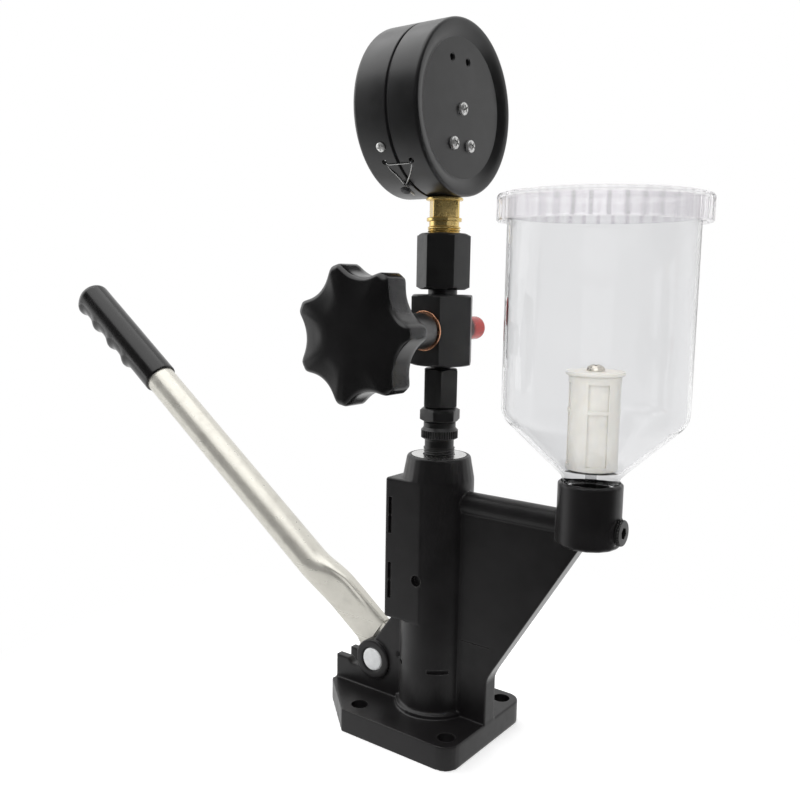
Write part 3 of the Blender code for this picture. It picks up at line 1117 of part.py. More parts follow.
def make_movement():
    """The pointer with its pinion, the sector, the movement plate and the Bourdon tube."""
    centre = (0.0, 0.0, GAUGE_Z)
    zero = math.radians(-45.0)
    blade_middle = POINTER_X + POINTER_THICKNESS / 2.0
    outline = [(POINTER_HALF_WIDTH, -POINTER_TAIL), (POINTER_HALF_WIDTH, POINTER_TIP * 0.3),
               (0.0, POINTER_TIP), (-POINTER_HALF_WIDTH, POINTER_TIP * 0.3),
               (-POINTER_HALF_WIDTH, -POINTER_TAIL)]
    pinion_front = SECTOR_BACK - PINION_LENGTH
    pointer = turned("gauge_pointer",
                     [(0.0, PLATE_BACK), (ARBOR_RADIUS, PLATE_BACK), (ARBOR_RADIUS, SECTOR_BACK),
                      (PINION_RADIUS, SECTOR_BACK), (PINION_RADIUS, pinion_front),
                      (ARBOR_RADIUS, pinion_front), (ARBOR_RADIUS, POINTER_X + 1.5 * POINTER_THICKNESS),
                      (POINTER_HUB_RADIUS, POINTER_X + 1.5 * POINTER_THICKNESS),
                      (POINTER_HUB_RADIUS, POINTER_X - POINTER_THICKNESS),
                      (0.0, POINTER_X - POINTER_THICKNESS)],
                     "black_plastic", centre, TO_RIGHT, SMALL)
    facing = Matrix.Rotation(math.pi / 2.0, 4, "Z") @ Matrix.Rotation(math.pi / 2.0, 4, "X")
    swing = Matrix.Rotation(zero - math.pi / 2.0, 4, "X") @ facing
    join(pointer, tool(plate(outline, POINTER_THICKNESS), (blade_middle, 0.0, GAUGE_Z), swing.to_euler()))

    low = GAUGE_Z - SECTOR_PIVOT
    plate_foot = low - PINION_RADIUS
    frame = piece("movement_plate", box((PLATE_FRONT, -MOVEMENT_HALF_WIDTH, plate_foot),
                                        (PLATE_BACK, MOVEMENT_HALF_WIDTH, GAUGE_Z + MOVEMENT_TOP)), "brass")
    through = (PLATE_FRONT - OVERSHOOT, PLATE_BACK + OVERSHOOT)
    cut(frame, tool(cylinder(ARBOR_RADIUS + GAP, *through, SMALL), centre, TO_RIGHT),
        tool(cylinder(ARBOR_RADIUS + GAP, *through, SMALL), (0.0, 0.0, low), TO_RIGHT))
    aim = math.pi / 2.0 + SECTOR_REST
    wedge = ([(-PINION_RADIUS * math.cos(aim), -PINION_RADIUS * math.sin(aim))]
             + arc((0.0, 0.0), SECTOR_RADIUS, aim - SECTOR_HALF_ANGLE, aim + SECTOR_HALF_ANGLE, 9))
    sector = piece("sector_gear", plate(wedge, SECTOR_THICKNESS), "brass",
                   (SECTOR_BACK - SECTOR_THICKNESS / 2.0, 0.0, low), (math.pi / 2.0, 0.0, math.pi / 2.0))
    join(sector, tool(cylinder(ARBOR_RADIUS, SECTOR_BACK - SECTOR_THICKNESS / 2.0, PLATE_BACK, SMALL),
                      (0.0, 0.0, low), TO_RIGHT))

    points = []
    count = 16
    for index in range(count + 1):
        angle = BOURDON_START + BOURDON_SWEEP * index / count
        points.append((BOURDON_X, BOURDON_RADIUS * math.cos(angle),
                       GAUGE_Z + BOURDON_RADIUS * math.sin(angle)))
    piece("bourdon_tube", wire(points, BOURDON_TUBE_RADIUS), "brass")


def make_seal():
    """The wire through the bezel and case, and the lead seal on it."""
    reach = CASE_RADIUS + GAP + WIRE_RADIUS

    def on_case(across, angle, proud=0.0):
        """A point on the case's side, at a distance along X and an angle from the top."""
        out = reach + proud
        return Vector((across, out * math.sin(angle), GAUGE_Z + out * math.cos(angle)))

    span = 12
    pull = 2.0 * SEAL_X - (WIRE_FRONT_X + WIRE_BACK_X) / 2.0
    points = []
    for index in range(span + 1):
        share = index / span
        rest = 1.0 - share
        hang = 4.0 * share * rest
        across = rest * rest * WIRE_FRONT_X + hang / 2.0 * pull + share * share * WIRE_BACK_X
        points.append(on_case(across, WIRE_ANGLE + (SEAL_ANGLE - WIRE_ANGLE) * hang, 0.6 * MM * hang))
    piece("seal_wire", wire(points, WIRE_RADIUS), "bare_steel")
    seal_place = on_case(SEAL_X, SEAL_ANGLE, 0.6 * MM + WIRE_RADIUS + GAP)
    turned("lead_seal", [(0.0, SEAL_THICKNESS), (SEAL_RADIUS * 0.8, SEAL_THICKNESS),
                         (SEAL_RADIUS, SEAL_THICKNESS * 0.5), (SEAL_RADIUS * 0.8, 0.0), (0.0, 0.0)], "lead",
           seal_place, (-SEAL_ANGLE, 0.0, 0.0), SMALL)


def make_cup():
    """The fuel cup with its stub, O-ring, lid, filter and the collar's plug."""
    place = (CUP_X, 0.0, 0.0)
    stub_foot = CUP_NECK_Z - STUB_LENGTH
    ring_z = COLLAR_TOP - O_RING_BELOW_TOP
    groove = STUB_RADIUS - 2.0 * O_RING_RADIUS - GAP
    groove_half = O_RING_RADIUS + GAP
    shoulder = [(CUP_RADIUS, CUP_WALL_Z), (CUP_SHOULDER_RADIUS, CUP_WALL_Z - CUP_SHOULDER_HEIGHT * 0.45),
                (CUP_SHOULDER_RADIUS - CUP_SHOULDER_HEIGHT * 0.4, CUP_SHOULDER_Z)]
    inner = [(radius - CUP_WALL, height + CUP_WALL * 0.3) for radius, height in reversed(shoulder)]
    cup_points = ([(CUP_RADIUS, CUP_RIM_Z)] + shoulder
                  + [(CUP_CONE_FOOT_RADIUS, CUP_FLOOR_Z), (NECK_RADIUS, CUP_FLOOR_Z - SINK),
                     (NECK_RADIUS, CUP_NECK_Z), (STUB_RADIUS, CUP_NECK_Z),
                     (STUB_RADIUS, ring_z + groove_half), (groove, ring_z + groove_half),
                     (groove, ring_z - groove_half),
                     (STUB_RADIUS, ring_z - groove_half), (STUB_RADIUS, stub_foot),
                     (CUP_OUTLET_RADIUS, stub_foot), (CUP_OUTLET_RADIUS, CUP_FLOOR_Z + CUP_WALL),
                     (CUP_CONE_FOOT_RADIUS - CUP_WALL * 0.4, CUP_FLOOR_Z + CUP_WALL)]
                  + inner + [(CUP_RADIUS - CUP_WALL, CUP_RIM_Z)])
    turned("fuel_cup", cup_points, "clear_plastic", place, UP, FINE)
    middle = groove + GAP + O_RING_RADIUS
    hexagon_angles = [-FULL_TURN * index / 6.0 for index in range(6)]
    turned("cup_o_ring", [(middle + O_RING_RADIUS * math.cos(angle), ring_z + O_RING_RADIUS * math.sin(angle))
                          for angle in hexagon_angles], "black_rubber", place, UP)

    plate_top = LID_PLATE_Z + LID_TOP_THICKNESS
    skirt_foot = plate_top - LID_SKIRT - LID_TOP_THICKNESS
    inside = CUP_RADIUS + GAP
    turned("cup_lid",
           [(0.0, plate_top + LID_DISC_HEIGHT), (LID_DISC_RADIUS, plate_top + LID_DISC_HEIGHT),
            (LID_DISC_RADIUS + SINK, plate_top), (LID_RADIUS - SINK, plate_top),
            (LID_RADIUS, plate_top - SINK), (LID_RADIUS, skirt_foot),
            (LID_RADIUS - LID_SKIRT_WALL, skirt_foot),
            (LID_RADIUS - LID_SKIRT_WALL, LID_PLATE_Z), (inside + LID_INNER_WALL, LID_PLATE_Z),
            (inside + LID_INNER_WALL, skirt_foot), (inside, skirt_foot), (inside, LID_PLATE_Z),
            (LID_DISC_RADIUS, LID_PLATE_Z), (LID_DISC_RADIUS - SINK, LID_PLATE_Z + LID_DISC_HEIGHT),
            (0.0, LID_PLATE_Z + LID_DISC_HEIGHT)], "clear_plastic", place, UP, FINE)

    foot = CUP_FLOOR_Z + CUP_WALL + GAP
    top = foot + FILTER_HEIGHT
    inner_radius = FILTER_RADIUS - FILTER_WALL
    post = turned("filter_post", [(0.0, top), (FILTER_FLANGE_RADIUS, top),
                                  (FILTER_FLANGE_RADIUS, top - FILTER_FLANGE),
                                  (FILTER_RADIUS, top - FILTER_FLANGE), (FILTER_RADIUS, foot),
                                  (inner_radius, foot), (inner_radius, top - FILTER_FLANGE - FILTER_WALL),
                                  (0.0, top - FILTER_FLANGE - FILTER_WALL)], "ivory_plastic", place, UP)
    half = FILTER_WINDOW_WIDTH / 2.0
    for low, high in FILTER_WINDOW_ROWS:
        for index in range(FILTER_WINDOWS_ROUND):
            turn = FILTER_WINDOW_TURN + math.pi * index / FILTER_WINDOWS_ROUND
            window = box((-half, -FILTER_RADIUS - OVERSHOOT, foot + low),
                         (half, FILTER_RADIUS + OVERSHOOT, foot + high))
            cut(post, tool(window, place, (0.0, 0.0, turn)))
    screw_foot = top - FILTER_FLANGE - FILTER_WALL - OVERSHOOT
    cut(post, tool(cylinder(FILTER_SCREW_RADIUS + GAP, screw_foot, top + OVERSHOOT, SMALL), place))
    head = top + GAP
    turned("filter_screw", [(0.0, head + FILTER_SCREW_HEAD_HEIGHT),
                            (FILTER_SCREW_HEAD_RADIUS * 0.6, head + FILTER_SCREW_HEAD_HEIGHT * 0.9),
                            (FILTER_SCREW_HEAD_RADIUS * 0.95, head + FILTER_SCREW_HEAD_HEIGHT * 0.45),
                            (FILTER_SCREW_HEAD_RADIUS, head), (FILTER_SCREW_RADIUS, head),
                            (FILTER_SCREW_RADIUS, head - FILTER_SCREW_LENGTH),
                            (0.0, head - FILTER_SCREW_LENGTH)],
           "zinc_plate", place, UP, ROUND)

    axis = (0.0, 0.0, ARM_Z)
    turned("plug_washer", ring_points(PLUG_HEAD_RADIUS, PLUG_RADIUS + GAP, PLUG_WASHER_X,
                                      PLUG_WASHER_X + PLUG_WASHER_THICKNESS), "black_rubber", axis, TO_RIGHT)
    plug_top = PLUG_X + PLUG_HEAD_HEIGHT
    plug = turned("collar_plug", [(0.0, plug_top), (PLUG_HEAD_RADIUS - SINK / 2.0, plug_top),
                                  (PLUG_HEAD_RADIUS, plug_top - SINK / 2.0), (PLUG_HEAD_RADIUS, PLUG_X),
                                  (PLUG_RADIUS, PLUG_X), (PLUG_RADIUS, PLUG_X - PLUG_LENGTH),
                                  (0.0, PLUG_X - PLUG_LENGTH)], "black_steel", axis, TO_RIGHT)
    socket = hexagon(PLUG_SOCKET_FLATS, plug_top - PLUG_SOCKET_DEPTH, plug_top + OVERSHOOT)
    cut(plug, tool(socket, axis, TO_RIGHT))


make_body()
make_pump()
make_delivery_valve()
make_lever()
make_valve()
make_gauge_mount()
make_gauge_case()
make_movement()
make_seal()
make_cup()
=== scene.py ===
"""Looks of the hand-lever injector nozzle tester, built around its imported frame.

Z up. The column's axis is x = y = 0, +X runs to the fuel cup, -X to the lever's grip and -Y to the
valve's knob. Shapes are drawn in millimetres, and dress() brings them to the frame's metres.
Finishes, spring anchors, lamps and the camera are in metres.
"""
import json
from math import atan2, copysign, cos, exp, log, pi, radians, sin, sqrt, tanh

import bmesh
import bpy
import numpy as np
from mathutils import Matrix, Vector

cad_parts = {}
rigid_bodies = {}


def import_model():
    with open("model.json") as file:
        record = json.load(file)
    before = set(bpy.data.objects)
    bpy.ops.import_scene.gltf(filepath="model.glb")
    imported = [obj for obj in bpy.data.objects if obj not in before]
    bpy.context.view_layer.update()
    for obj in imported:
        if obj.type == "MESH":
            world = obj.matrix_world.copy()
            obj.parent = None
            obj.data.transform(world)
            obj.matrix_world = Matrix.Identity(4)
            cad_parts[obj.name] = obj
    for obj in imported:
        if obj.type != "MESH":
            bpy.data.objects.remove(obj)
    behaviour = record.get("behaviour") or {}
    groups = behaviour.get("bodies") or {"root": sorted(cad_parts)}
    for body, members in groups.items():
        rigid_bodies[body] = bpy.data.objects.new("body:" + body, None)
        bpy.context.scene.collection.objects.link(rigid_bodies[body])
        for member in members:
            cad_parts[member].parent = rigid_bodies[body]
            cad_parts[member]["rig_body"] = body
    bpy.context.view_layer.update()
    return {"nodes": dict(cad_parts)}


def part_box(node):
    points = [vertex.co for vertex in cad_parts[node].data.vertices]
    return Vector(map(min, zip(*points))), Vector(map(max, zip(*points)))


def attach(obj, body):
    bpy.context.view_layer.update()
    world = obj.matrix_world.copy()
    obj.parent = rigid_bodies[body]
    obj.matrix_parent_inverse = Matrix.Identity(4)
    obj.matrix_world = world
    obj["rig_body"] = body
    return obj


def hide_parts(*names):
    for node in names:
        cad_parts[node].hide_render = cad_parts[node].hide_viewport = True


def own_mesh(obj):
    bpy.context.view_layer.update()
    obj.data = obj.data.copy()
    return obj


MM = 0.001
FULL_TURN = 2.0 * pi
ORIGIN = (0.0, 0.0, 0.0)
AXIS_X = (1.0, 0.0, 0.0)
AXIS_Y = (0.0, 1.0, 0.0)
AXIS_Z = (0.0, 0.0, 1.0)

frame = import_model()
NODES = frame["nodes"]


def box(node):
    """A node's lowest and highest corners."""
    return [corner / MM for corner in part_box(node)]


def heights(node):
    """A node's lowest and highest Z."""
    return [corner.z for corner in box(node)]


def centre_of(node):
    """The middle of a node's box."""
    low, high = box(node)
    return (low + high) / 2.0


GAUGE_Z = centre_of("gauge_case").z
VALVE_Z = centre_of("valve_block").z
CUP_X = centre_of("fuel_cup").x
PIVOT = Vector((-41.5, 0.0, 36.7))
LEVER_ANGLE = radians(35.35)
LID_RIBS = 40
CUP_AXIS = Matrix.Translation((CUP_X, 0.0, 0.0))
VALVE_AXIS = Matrix.Translation((0.0, 0.0, VALVE_Z))
GAUGE_AXIS = Matrix.Translation((0.0, 0.0, GAUGE_Z))
PIVOT_PLACE = Matrix.Translation(PIVOT)

# Directions that a turned shape's own Z axis can point
UP = Matrix.Identity(4)
TO_FRONT = Matrix.Rotation(pi / 2.0, 4, "X")
TO_REAR = Matrix.Rotation(-pi / 2.0, 4, "X")
TO_RIGHT = Matrix.Rotation(pi / 2.0, 4, "Y")


# Finishes

def add_node(tree, kind, inputs, **settings):
    """A shader node. Each input is joined to a socket or set to a value."""
    node = tree.nodes.new("ShaderNode" + kind)
    for name, value in settings.items():
        setattr(node, name, value)
    for socket, value in inputs.items():
        if isinstance(value, bpy.types.NodeSocket):
            tree.links.new(value, node.inputs[socket])
        else:
            node.inputs[socket].default_value = value
    return node


def ramp(tree, source, start, end, low, high, kind="LINEAR"):
    """A value mapped from one range onto another."""
    values = {"Value": source, "From Min": start, "From Max": end, "To Min": low, "To Max": high}
    return add_node(tree, "MapRange", values, interpolation_type=kind).outputs["Result"]


def scaled(colour, factor):
    """A colour made lighter or darker."""
    return tuple(min(1.0, value * factor) for value in colour)


class Finish:
    """A Principled material with helpers for the patterns that drive it."""

    def __init__(self, name, base, roughness, metallic=0.0, specular=0.5):
        self.material = bpy.data.materials.new(name)
        self.material.use_nodes = True
        self.tree = self.material.node_tree
        self.shader = self.tree.nodes["Principled BSDF"]
        self.place = self.add("TexCoord", "Object")
        self.normal = None
        self.base = base
        self.set("Base Color", (*base, 1.0))
        self.set("Roughness", roughness)
        self.set("Metallic", metallic)
        self.set("Specular IOR Level", specular)

    def add(self, kind, output, inputs=None, **settings):
        return add_node(self.tree, kind, inputs or {}, **settings).outputs[output]

    def set(self, socket, value):
        self.shader.inputs[socket].default_value = value

    def drive(self, socket, source):
        self.tree.links.new(source, self.shader.inputs[socket])
        return self

    def noise(self, size, detail=3.0, stretch=(1.0, 1.0, 1.0), turn=ORIGIN):
        """Noise whose blots are about size across."""
        place = self.add("Mapping", "Vector", {"Vector": self.place, "Scale": stretch, "Rotation": turn})
        return self.add("TexNoise", "Fac", {"Vector": place, "Scale": 1.0 / size, "Detail": detail})

    def about(self, centre):
        """Places measured from a centre."""
        return self.add("Mapping", "Vector", {"Vector": self.place,
                                              "Location": [-value for value in centre]})

    def rings(self, size, axis, centre=ORIGIN):
        """Fine rings about an axis, as a lathe leaves them."""
        inputs = {"Vector": self.about(centre), "Scale": 0.314 / size, "Distortion": 1.0, "Detail": 2.0}
        return self.add("TexWave", "Fac", inputs, wave_type="RINGS", rings_direction=axis)

    def level(self, source, low, high, start=0.3, end=0.7):
        """Map a pattern onto a range of values."""
        return ramp(self.tree, source, start, end, low, high)

    def times(self, one, other):
        """One pattern times another pattern or a number."""
        return self.add("Math", "Value", {0: one, 1: other}, operation="MULTIPLY")

    def blend(self, factor, first, second):
        """Mix two colours, each a pattern's or plain."""
        first, second = ((*colour, 1.0) if isinstance(colour, tuple) else colour
                         for colour in (first, second))
        return self.add("Mix", 2, {0: factor, 6: first, 7: second}, data_type="RGBA")

    def mottled(self, size, detail, dark, light):
        """The base colour in blots from dark to light."""
        share = self.level(self.noise(size, detail), 0.0, 1.0)
        return self.blend(share, scaled(self.base, dark), scaled(self.base, light))

    def dot(self, one, other):
        return self.add("VectorMath", "Value", {0: one, 1: other}, operation="DOT_PRODUCT")

    def edges(self, radius):
        """1 along convex and hollow edges, 0 on open faces."""
        bevel = self.add("Bevel", "Normal", {"Radius": radius}, samples=6)
        return self.level(self.dot(bevel, self.add("NewGeometry", "Normal")), 1.0, 0.0, 0.90, 0.995)

    def spokes(self, count, centre):
        """A wave that runs count times round an upright axis."""
        radial = self.add("TexGradient", "Fac", {"Vector": self.about(centre)}, gradient_type="RADIAL")
        return self.add("Math", "Value", {0: self.times(radial, FULL_TURN * count)}, operation="COSINE")

    def uneven(self, size, detail, low, high):
        """Roughness in blots from low to high."""
        return self.drive("Roughness", self.level(self.noise(size, detail), low, high))

    def bump(self, source, depth, strength):
        """Raise the surface by up to depth where the pattern is bright."""
        inputs = {"Height": source, "Distance": depth, "Strength": strength}
        if self.normal is not None:
            inputs["Normal"] = self.normal
        self.normal = self.add("Bump", "Normal", inputs)
        return self.drive("Normal", self.normal)

    def grain(self, size, detail, depth, strength):
        """Fine bumps about size across."""
        return self.bump(self.noise(size, detail), depth, strength)


def plain_finish(name, base, roughness, blots, gloss=None, grain=None, **more):
    """A finish with blots in its colour, uneven gloss and a fine grain."""
    made = Finish(name, base, roughness, **more)
    made.drive("Base Color", made.mottled(*blots))
    if gloss:
        made.uneven(*gloss)
    if grain:
        made.grain(*grain)
    return made


def worn_black(made, blots, edge, rub, bare):
    """Black in blots, rubbed through to a paler tone along the edges."""
    worn = made.times(made.edges(edge), made.level(made.noise(*rub[:1]), *rub[1:]))
    return made.drive("Base Color", made.blend(worn, made.mottled(*blots), bare))


def cast_paint():
    """Satin black paint over a casting, smoother under the web."""
    made = Finish("cast_black_paint", (0.0098, 0.0091, 0.0096), 0.36, specular=0.42)
    worn_black(made, (0.018, 4.0, 0.75, 1.3), 0.0011, (0.006, 0.1, 0.9), (0.060, 0.058, 0.057))
    facing_web = made.dot(made.add("NewGeometry", "Normal"), (0.853, 0.0, -0.522))
    under_web = made.level(facing_web, 1.0, 0.35, 0.85, 0.97)
    made.drive("Roughness", made.times(made.level(made.noise(0.006, 4.0), 0.32, 0.40), under_web))
    made.grain(0.0011, 3.0, 0.00003, 0.5)
    return made.grain(0.009, 2.0, 0.00015, 0.2)


def black_oxide():
    """Blackened steel bar with rubbed edges."""
    made = Finish("black_oxide_steel", (0.0085, 0.0084, 0.0086), 0.34, metallic=0.1)
    worn_black(made, (0.010, 4.0, 0.75, 1.35), 0.0007, (0.003, 0.05, 0.8), (0.085, 0.083, 0.080))
    return made.uneven(0.004, 4.0, 0.29, 0.40).grain(0.0006, 3.0, 0.00001, 0.4)


def bright_metal(name, base, roughness, axis="Z", tarnish=0.8, metallic=1.0, depth=0.000008):
    """A turned metal with lathe rings and a little tarnish."""
    gloss = (0.0025, 4.0, roughness - 0.02, roughness + 0.03)
    made = plain_finish(name, base, roughness, (0.007, 4.0, tarnish, 1.08), gloss, metallic=metallic)
    return made.bump(made.rings(0.0006, axis), depth, 0.25)


def zinc_lever():
    """Clear zinc plate on drawn tube, with long draw marks and small stains."""
    base = (0.74, 0.72, 0.65)
    made = Finish("zinc_plated_tube", base, 0.32, metallic=0.55)
    streak = made.noise(0.003, 3.0, stretch=(0.03, 1.0, 1.0), turn=(0.0, LEVER_ANGLE, 0.0))
    blot = made.level(made.noise(0.012, 5.0), 0.0, 1.0, 0.52, 0.75)
    stain = made.level(made.noise(0.0045, 2.0), 0.0, 0.22, 0.60, 0.80)
    body = made.blend(blot, base, scaled(base, 0.86))
    made.drive("Base Color", made.blend(stain, body, (0.46, 0.42, 0.33)))
    return made.drive("Roughness", made.level(streak, 0.27, 0.35))


def pin_plate():
    """Pale dull plate on the pin's head, with faint turning rings."""
    made = plain_finish("dull_pin_plate", (0.90, 0.91, 0.915), 0.45, (0.004, 3.0, 0.93, 1.05),
                        (0.002, 3.0, 0.40, 0.52), metallic=0.25)
    return made.bump(made.rings(0.0005, "Y", PIVOT * MM), 0.00001, 0.2)


def cap_plastic():
    """Soft red push-on cap that lets some light through, darker at its mouth."""
    made = Finish("cap_red_plastic", (0.66, 0.045, 0.038), 0.22)
    from_mouth = made.level(made.dot(made.place, AXIS_Y), 0.0, 1.0, 0.0255, 0.0290)
    red = made.mottled(0.006, 3.0, 0.88, 1.12)
    made.drive("Base Color", made.blend(from_mouth, (0.085, 0.028, 0.028), red))
    made.set("Transmission Weight", 0.22)
    made.set("IOR", 1.45)
    return made.uneven(0.006, 3.0, 0.18, 0.28)


def clear_plastic(name, tint, roughness, index, ribs=0, coat=0.6, haze=0.0, neck=None):
    """Clear moulded plastic with faint flow lines, thicker under its ribs and in its neck."""
    made = Finish(name, tint, roughness)
    made.set("Transmission Weight", 1.0 - haze)
    made.set("IOR", index)
    made.set("Coat Weight", coat)
    made.set("Coat Roughness", 0.03)
    made.set("Coat IOR", 1.45)
    flow = made.mottled(0.03, 2.0, 0.985, 1.0)
    if ribs:
        streak = made.level(made.spokes(ribs, (CUP_X * MM, 0.0, 0.0)), 0.0, 1.0, 0.55, 0.9)
        flow = made.blend(streak, flow, scaled(tint, 0.86))
    if neck:
        above = made.level(made.dot(made.place, AXIS_Z), 0.0, 1.0, *neck)
        flow = made.blend(above, scaled(tint, 0.66), flow)
    made.drive("Base Color", flow).uneven(0.02, 3.0, roughness * 0.6, roughness * 1.4)
    return made.bump(made.noise(0.014, 1.0, stretch=(1.0, 1.0, 0.25)), 0.0004, 0.12)


def ivory_plastic():
    """Natural nylon of the filter."""
    made = plain_finish("ivory_nylon", (0.67, 0.655, 0.61), 0.45, (0.008, 3.0, 0.94, 1.04),
                        (0.003, 3.0, 0.40, 0.52), (0.0015, 3.0, 0.00004, 0.3))
    made.set("Subsurface Weight", 0.25)
    made.set("Subsurface Radius", (0.004, 0.003, 0.002))
    return made


def plain_print(name, base, roughness):
    """A printed or enamelled face with a little unevenness."""
    return plain_finish(name, base, roughness, (0.01, 3.0, 0.95, 1.03), None, (0.001, 3.0, 0.00001, 0.3))


# Name: finish and the record's slot
FINISHES = {
    "cast": (cast_paint(), "black_paint"),
    "gauge": (plain_finish("gauge_black_paint", (0.0095, 0.0095, 0.0100), 0.32, (0.02, 3.0, 0.85, 1.2),
                           (0.008, 3.0, 0.29, 0.35), (0.0008, 2.0, 0.00002, 0.5), specular=0.6),
              "black_paint"),
    "oxide": (black_oxide(), "black_steel"),
    "satin": (bright_metal("satin_black_steel", (0.15, 0.15, 0.15), 0.38, "Y"), "black_steel"),
    "steel": (bright_metal("bare_turned_steel", (0.66, 0.66, 0.65), 0.26, tarnish=0.92), "bare_steel"),
    "pin": (pin_plate(), "bare_steel"),
    "zinc": (zinc_lever(), "zinc_plate"),
    "screw": (bright_metal("zinc_plated_screw", (0.76, 0.76, 0.75), 0.30, "X", metallic=0.8),
              "zinc_plate"),
    "filter_screw": (bright_metal("warm_plated_screw", (0.74, 0.70, 0.62), 0.24), "zinc_plate"),
    "brass": (bright_metal("turned_brass", (0.74, 0.55, 0.21), 0.25, tarnish=0.95, metallic=0.9,
                           depth=0.0000015), "brass"),
    "copper": (bright_metal("copper_washer", (0.88, 0.45, 0.27), 0.26, "Y", tarnish=0.9), "copper"),
    "knob": (plain_finish("knob_black_plastic", (0.0062, 0.0060, 0.0062), 0.20, (0.02, 3.0, 0.8, 1.3),
                          (0.03, 2.0, 0.17, 0.23)), "black_plastic"),
    "grip": (plain_finish("grip_black_vinyl", (0.0072, 0.0069, 0.0070), 0.24, (0.015, 3.0, 0.8, 1.35),
                          (0.012, 3.0, 0.17, 0.24), (0.006, 2.0, 0.00005, 0.2)), "black_rubber"),
    "rubber": (plain_finish("seal_black_rubber", (0.014, 0.014, 0.014), 0.6, (0.004, 3.0, 0.8, 1.3), None,
                            (0.0006, 3.0, 0.00003, 0.4)), "black_rubber"),
    "red": (cap_plastic(), "red_plastic"),
    "clear": (clear_plastic("clear_cup_plastic", (0.88, 0.882, 0.888), 0.03, 1.05, neck=(0.181, 0.187)),
              "clear_plastic"),
    "lid": (clear_plastic("clear_lid_plastic", (0.965, 0.957, 0.968), 0.06, 1.08, LID_RIBS, coat=0.2,
                          haze=0.1), "clear_plastic"),
    "glass": (clear_plastic("gauge_window_plastic", (0.99, 0.99, 0.99), 0.02, 1.2), "clear_plastic"),
    "ivory": (ivory_plastic(), "ivory_plastic"),
    "dial": (plain_print("dial_white", (0.84, 0.84, 0.82), 0.45), "white_dial"),
    "ink": (plain_print("dial_ink", (0.012, 0.012, 0.012), 0.5), "black_plastic"),
    "pointer": (plain_print("pointer_black", (0.014, 0.014, 0.014), 0.35), "black_plastic"),
    "lead": (plain_finish("seal_lead", (0.045, 0.045, 0.047), 0.55, (0.003, 4.0, 0.7, 1.5), None,
                          (0.0012, 3.0, 0.0001, 0.5), metallic=0.6), "lead"),
}

# CAD nodes that keep their own shape, by finish
KEPT = {
    "steel": ("pump_cylinder", "pump_barrel", "plunger", "spring_seat", "tappet", "delivery_valve_seat",
              "delivery_valve", "valve_needle"),
    "copper": ("gauge_washer",),
    "brass": ("bourdon_tube", "movement_plate", "sector_gear"),
    "rubber": ("gland_packing", "cup_o_ring"),
}


# Mesh helpers

def smooth(mesh, angle=32.0):
    """Shade a mesh smooth, with its corners kept sharp."""
    mesh.shade_smooth()
    mesh.set_sharp_from_angle(angle=radians(angle))
    return mesh


def closed(work):
    """Turn a bmesh into a mesh with its faces pointing out."""
    bmesh.ops.recalc_face_normals(work, faces=work.faces)
    mesh = bpy.data.meshes.new("shape")
    work.to_mesh(mesh)
    work.free()
    return mesh


def added(name, data):
    """A new object in the scene."""
    made = bpy.data.objects.new(name, data)
    bpy.context.scene.collection.objects.link(made)
    return made


def node_mesh(node):
    """A copy of a node's mesh in millimetres."""
    mesh = NODES[node].data.copy()
    mesh.transform(Matrix.Scale(1.0 / MM, 4))
    return mesh


def dress(node, mesh, finish, name=None, replace=True):
    """Add a mesh as a piece that rides with a node's body and, mostly, stands for the node."""
    made = added(name or node + "_fine", mesh)
    look, slot = FINISHES[finish]
    mesh.transform(Matrix.Scale(MM, 4))
    mesh.materials.clear()
    mesh.materials.append(look.material)
    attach(made, NODES[node]["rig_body"])
    if replace:
        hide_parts(node)
    return made


def evaluated(made):
    """The mesh of an object with its modifiers, taking the object away."""
    graph = bpy.context.evaluated_depsgraph_get()
    graph.update()
    mesh = bpy.data.meshes.new_from_object(made.evaluated_get(graph))
    bpy.data.objects.remove(made, do_unlink=True)
    return mesh


def cut(mesh, *tools):
    """Cut several meshes out of one."""
    made = added("helper", mesh)
    cutters = [added("cutter", tool) for tool in tools]
    for cutter in cutters:
        modifier = made.modifiers.new("cut", "BOOLEAN")
        modifier.operation = "DIFFERENCE"
        modifier.solver = "EXACT"
        modifier.object = cutter
    result = evaluated(made)
    for cutter in cutters:
        bpy.data.objects.remove(cutter, do_unlink=True)
    return result


def merged(*meshes):
    """Several closed meshes in one."""
    work = bmesh.new()
    for mesh in meshes:
        work.from_mesh(mesh)
    mesh = bpy.data.meshes.new("merged")
    work.to_mesh(mesh)
    work.free()
    return mesh


def round_angles(count, phase=0.0):
    """Even angles round a turn."""
    return [phase + FULL_TURN * index / count for index in range(count)]


def softened(points, reach, steps=3, ring=False):
    """A line of (radius, height) points with its corners rounded."""
    made = []
    count = len(points)
    for index, point in enumerate(points):
        at_end = not ring and index in (0, count - 1)
        if at_end:
            made.append(point)
            continue
        here = Vector(point)
        before = Vector(points[index - 1]) - here
        after = Vector(points[(index + 1) % count]) - here
        size = min(reach, 0.45 * before.length, 0.45 * after.length)
        start = here + before.normalized() * size
        end = here + after.normalized() * size
        for step in range(steps + 1):
            share = step / steps
            first = start.lerp(here, share)
            made.append(tuple(first.lerp(here.lerp(end, share), share)))
    return made


def skin(work, rows, ring=False):
    """Faces between closed rows of points. A row of one point is a tip, and a ring joins its ends."""
    for near, far in zip(rows, rows[1:] + (rows[:1] if ring else [])):
        for index in range(max(len(near), len(far))):
            corners = [near[index % len(near)], near[(index + 1) % len(near)],
                       far[(index + 1) % len(far)], far[index % len(far)]]
            unique = list(dict.fromkeys(corners))
            if len(unique) > 2:
                work.faces.new(unique)


def swept(rows):
    """A solid through closed rows of points, with flat ends."""
    work = bmesh.new()
    rings = [[work.verts.new(point) for point in row] for row in rows]
    skin(work, rings)
    work.faces.new(rings[0])
    work.faces.new(rings[-1])
    return closed(work)


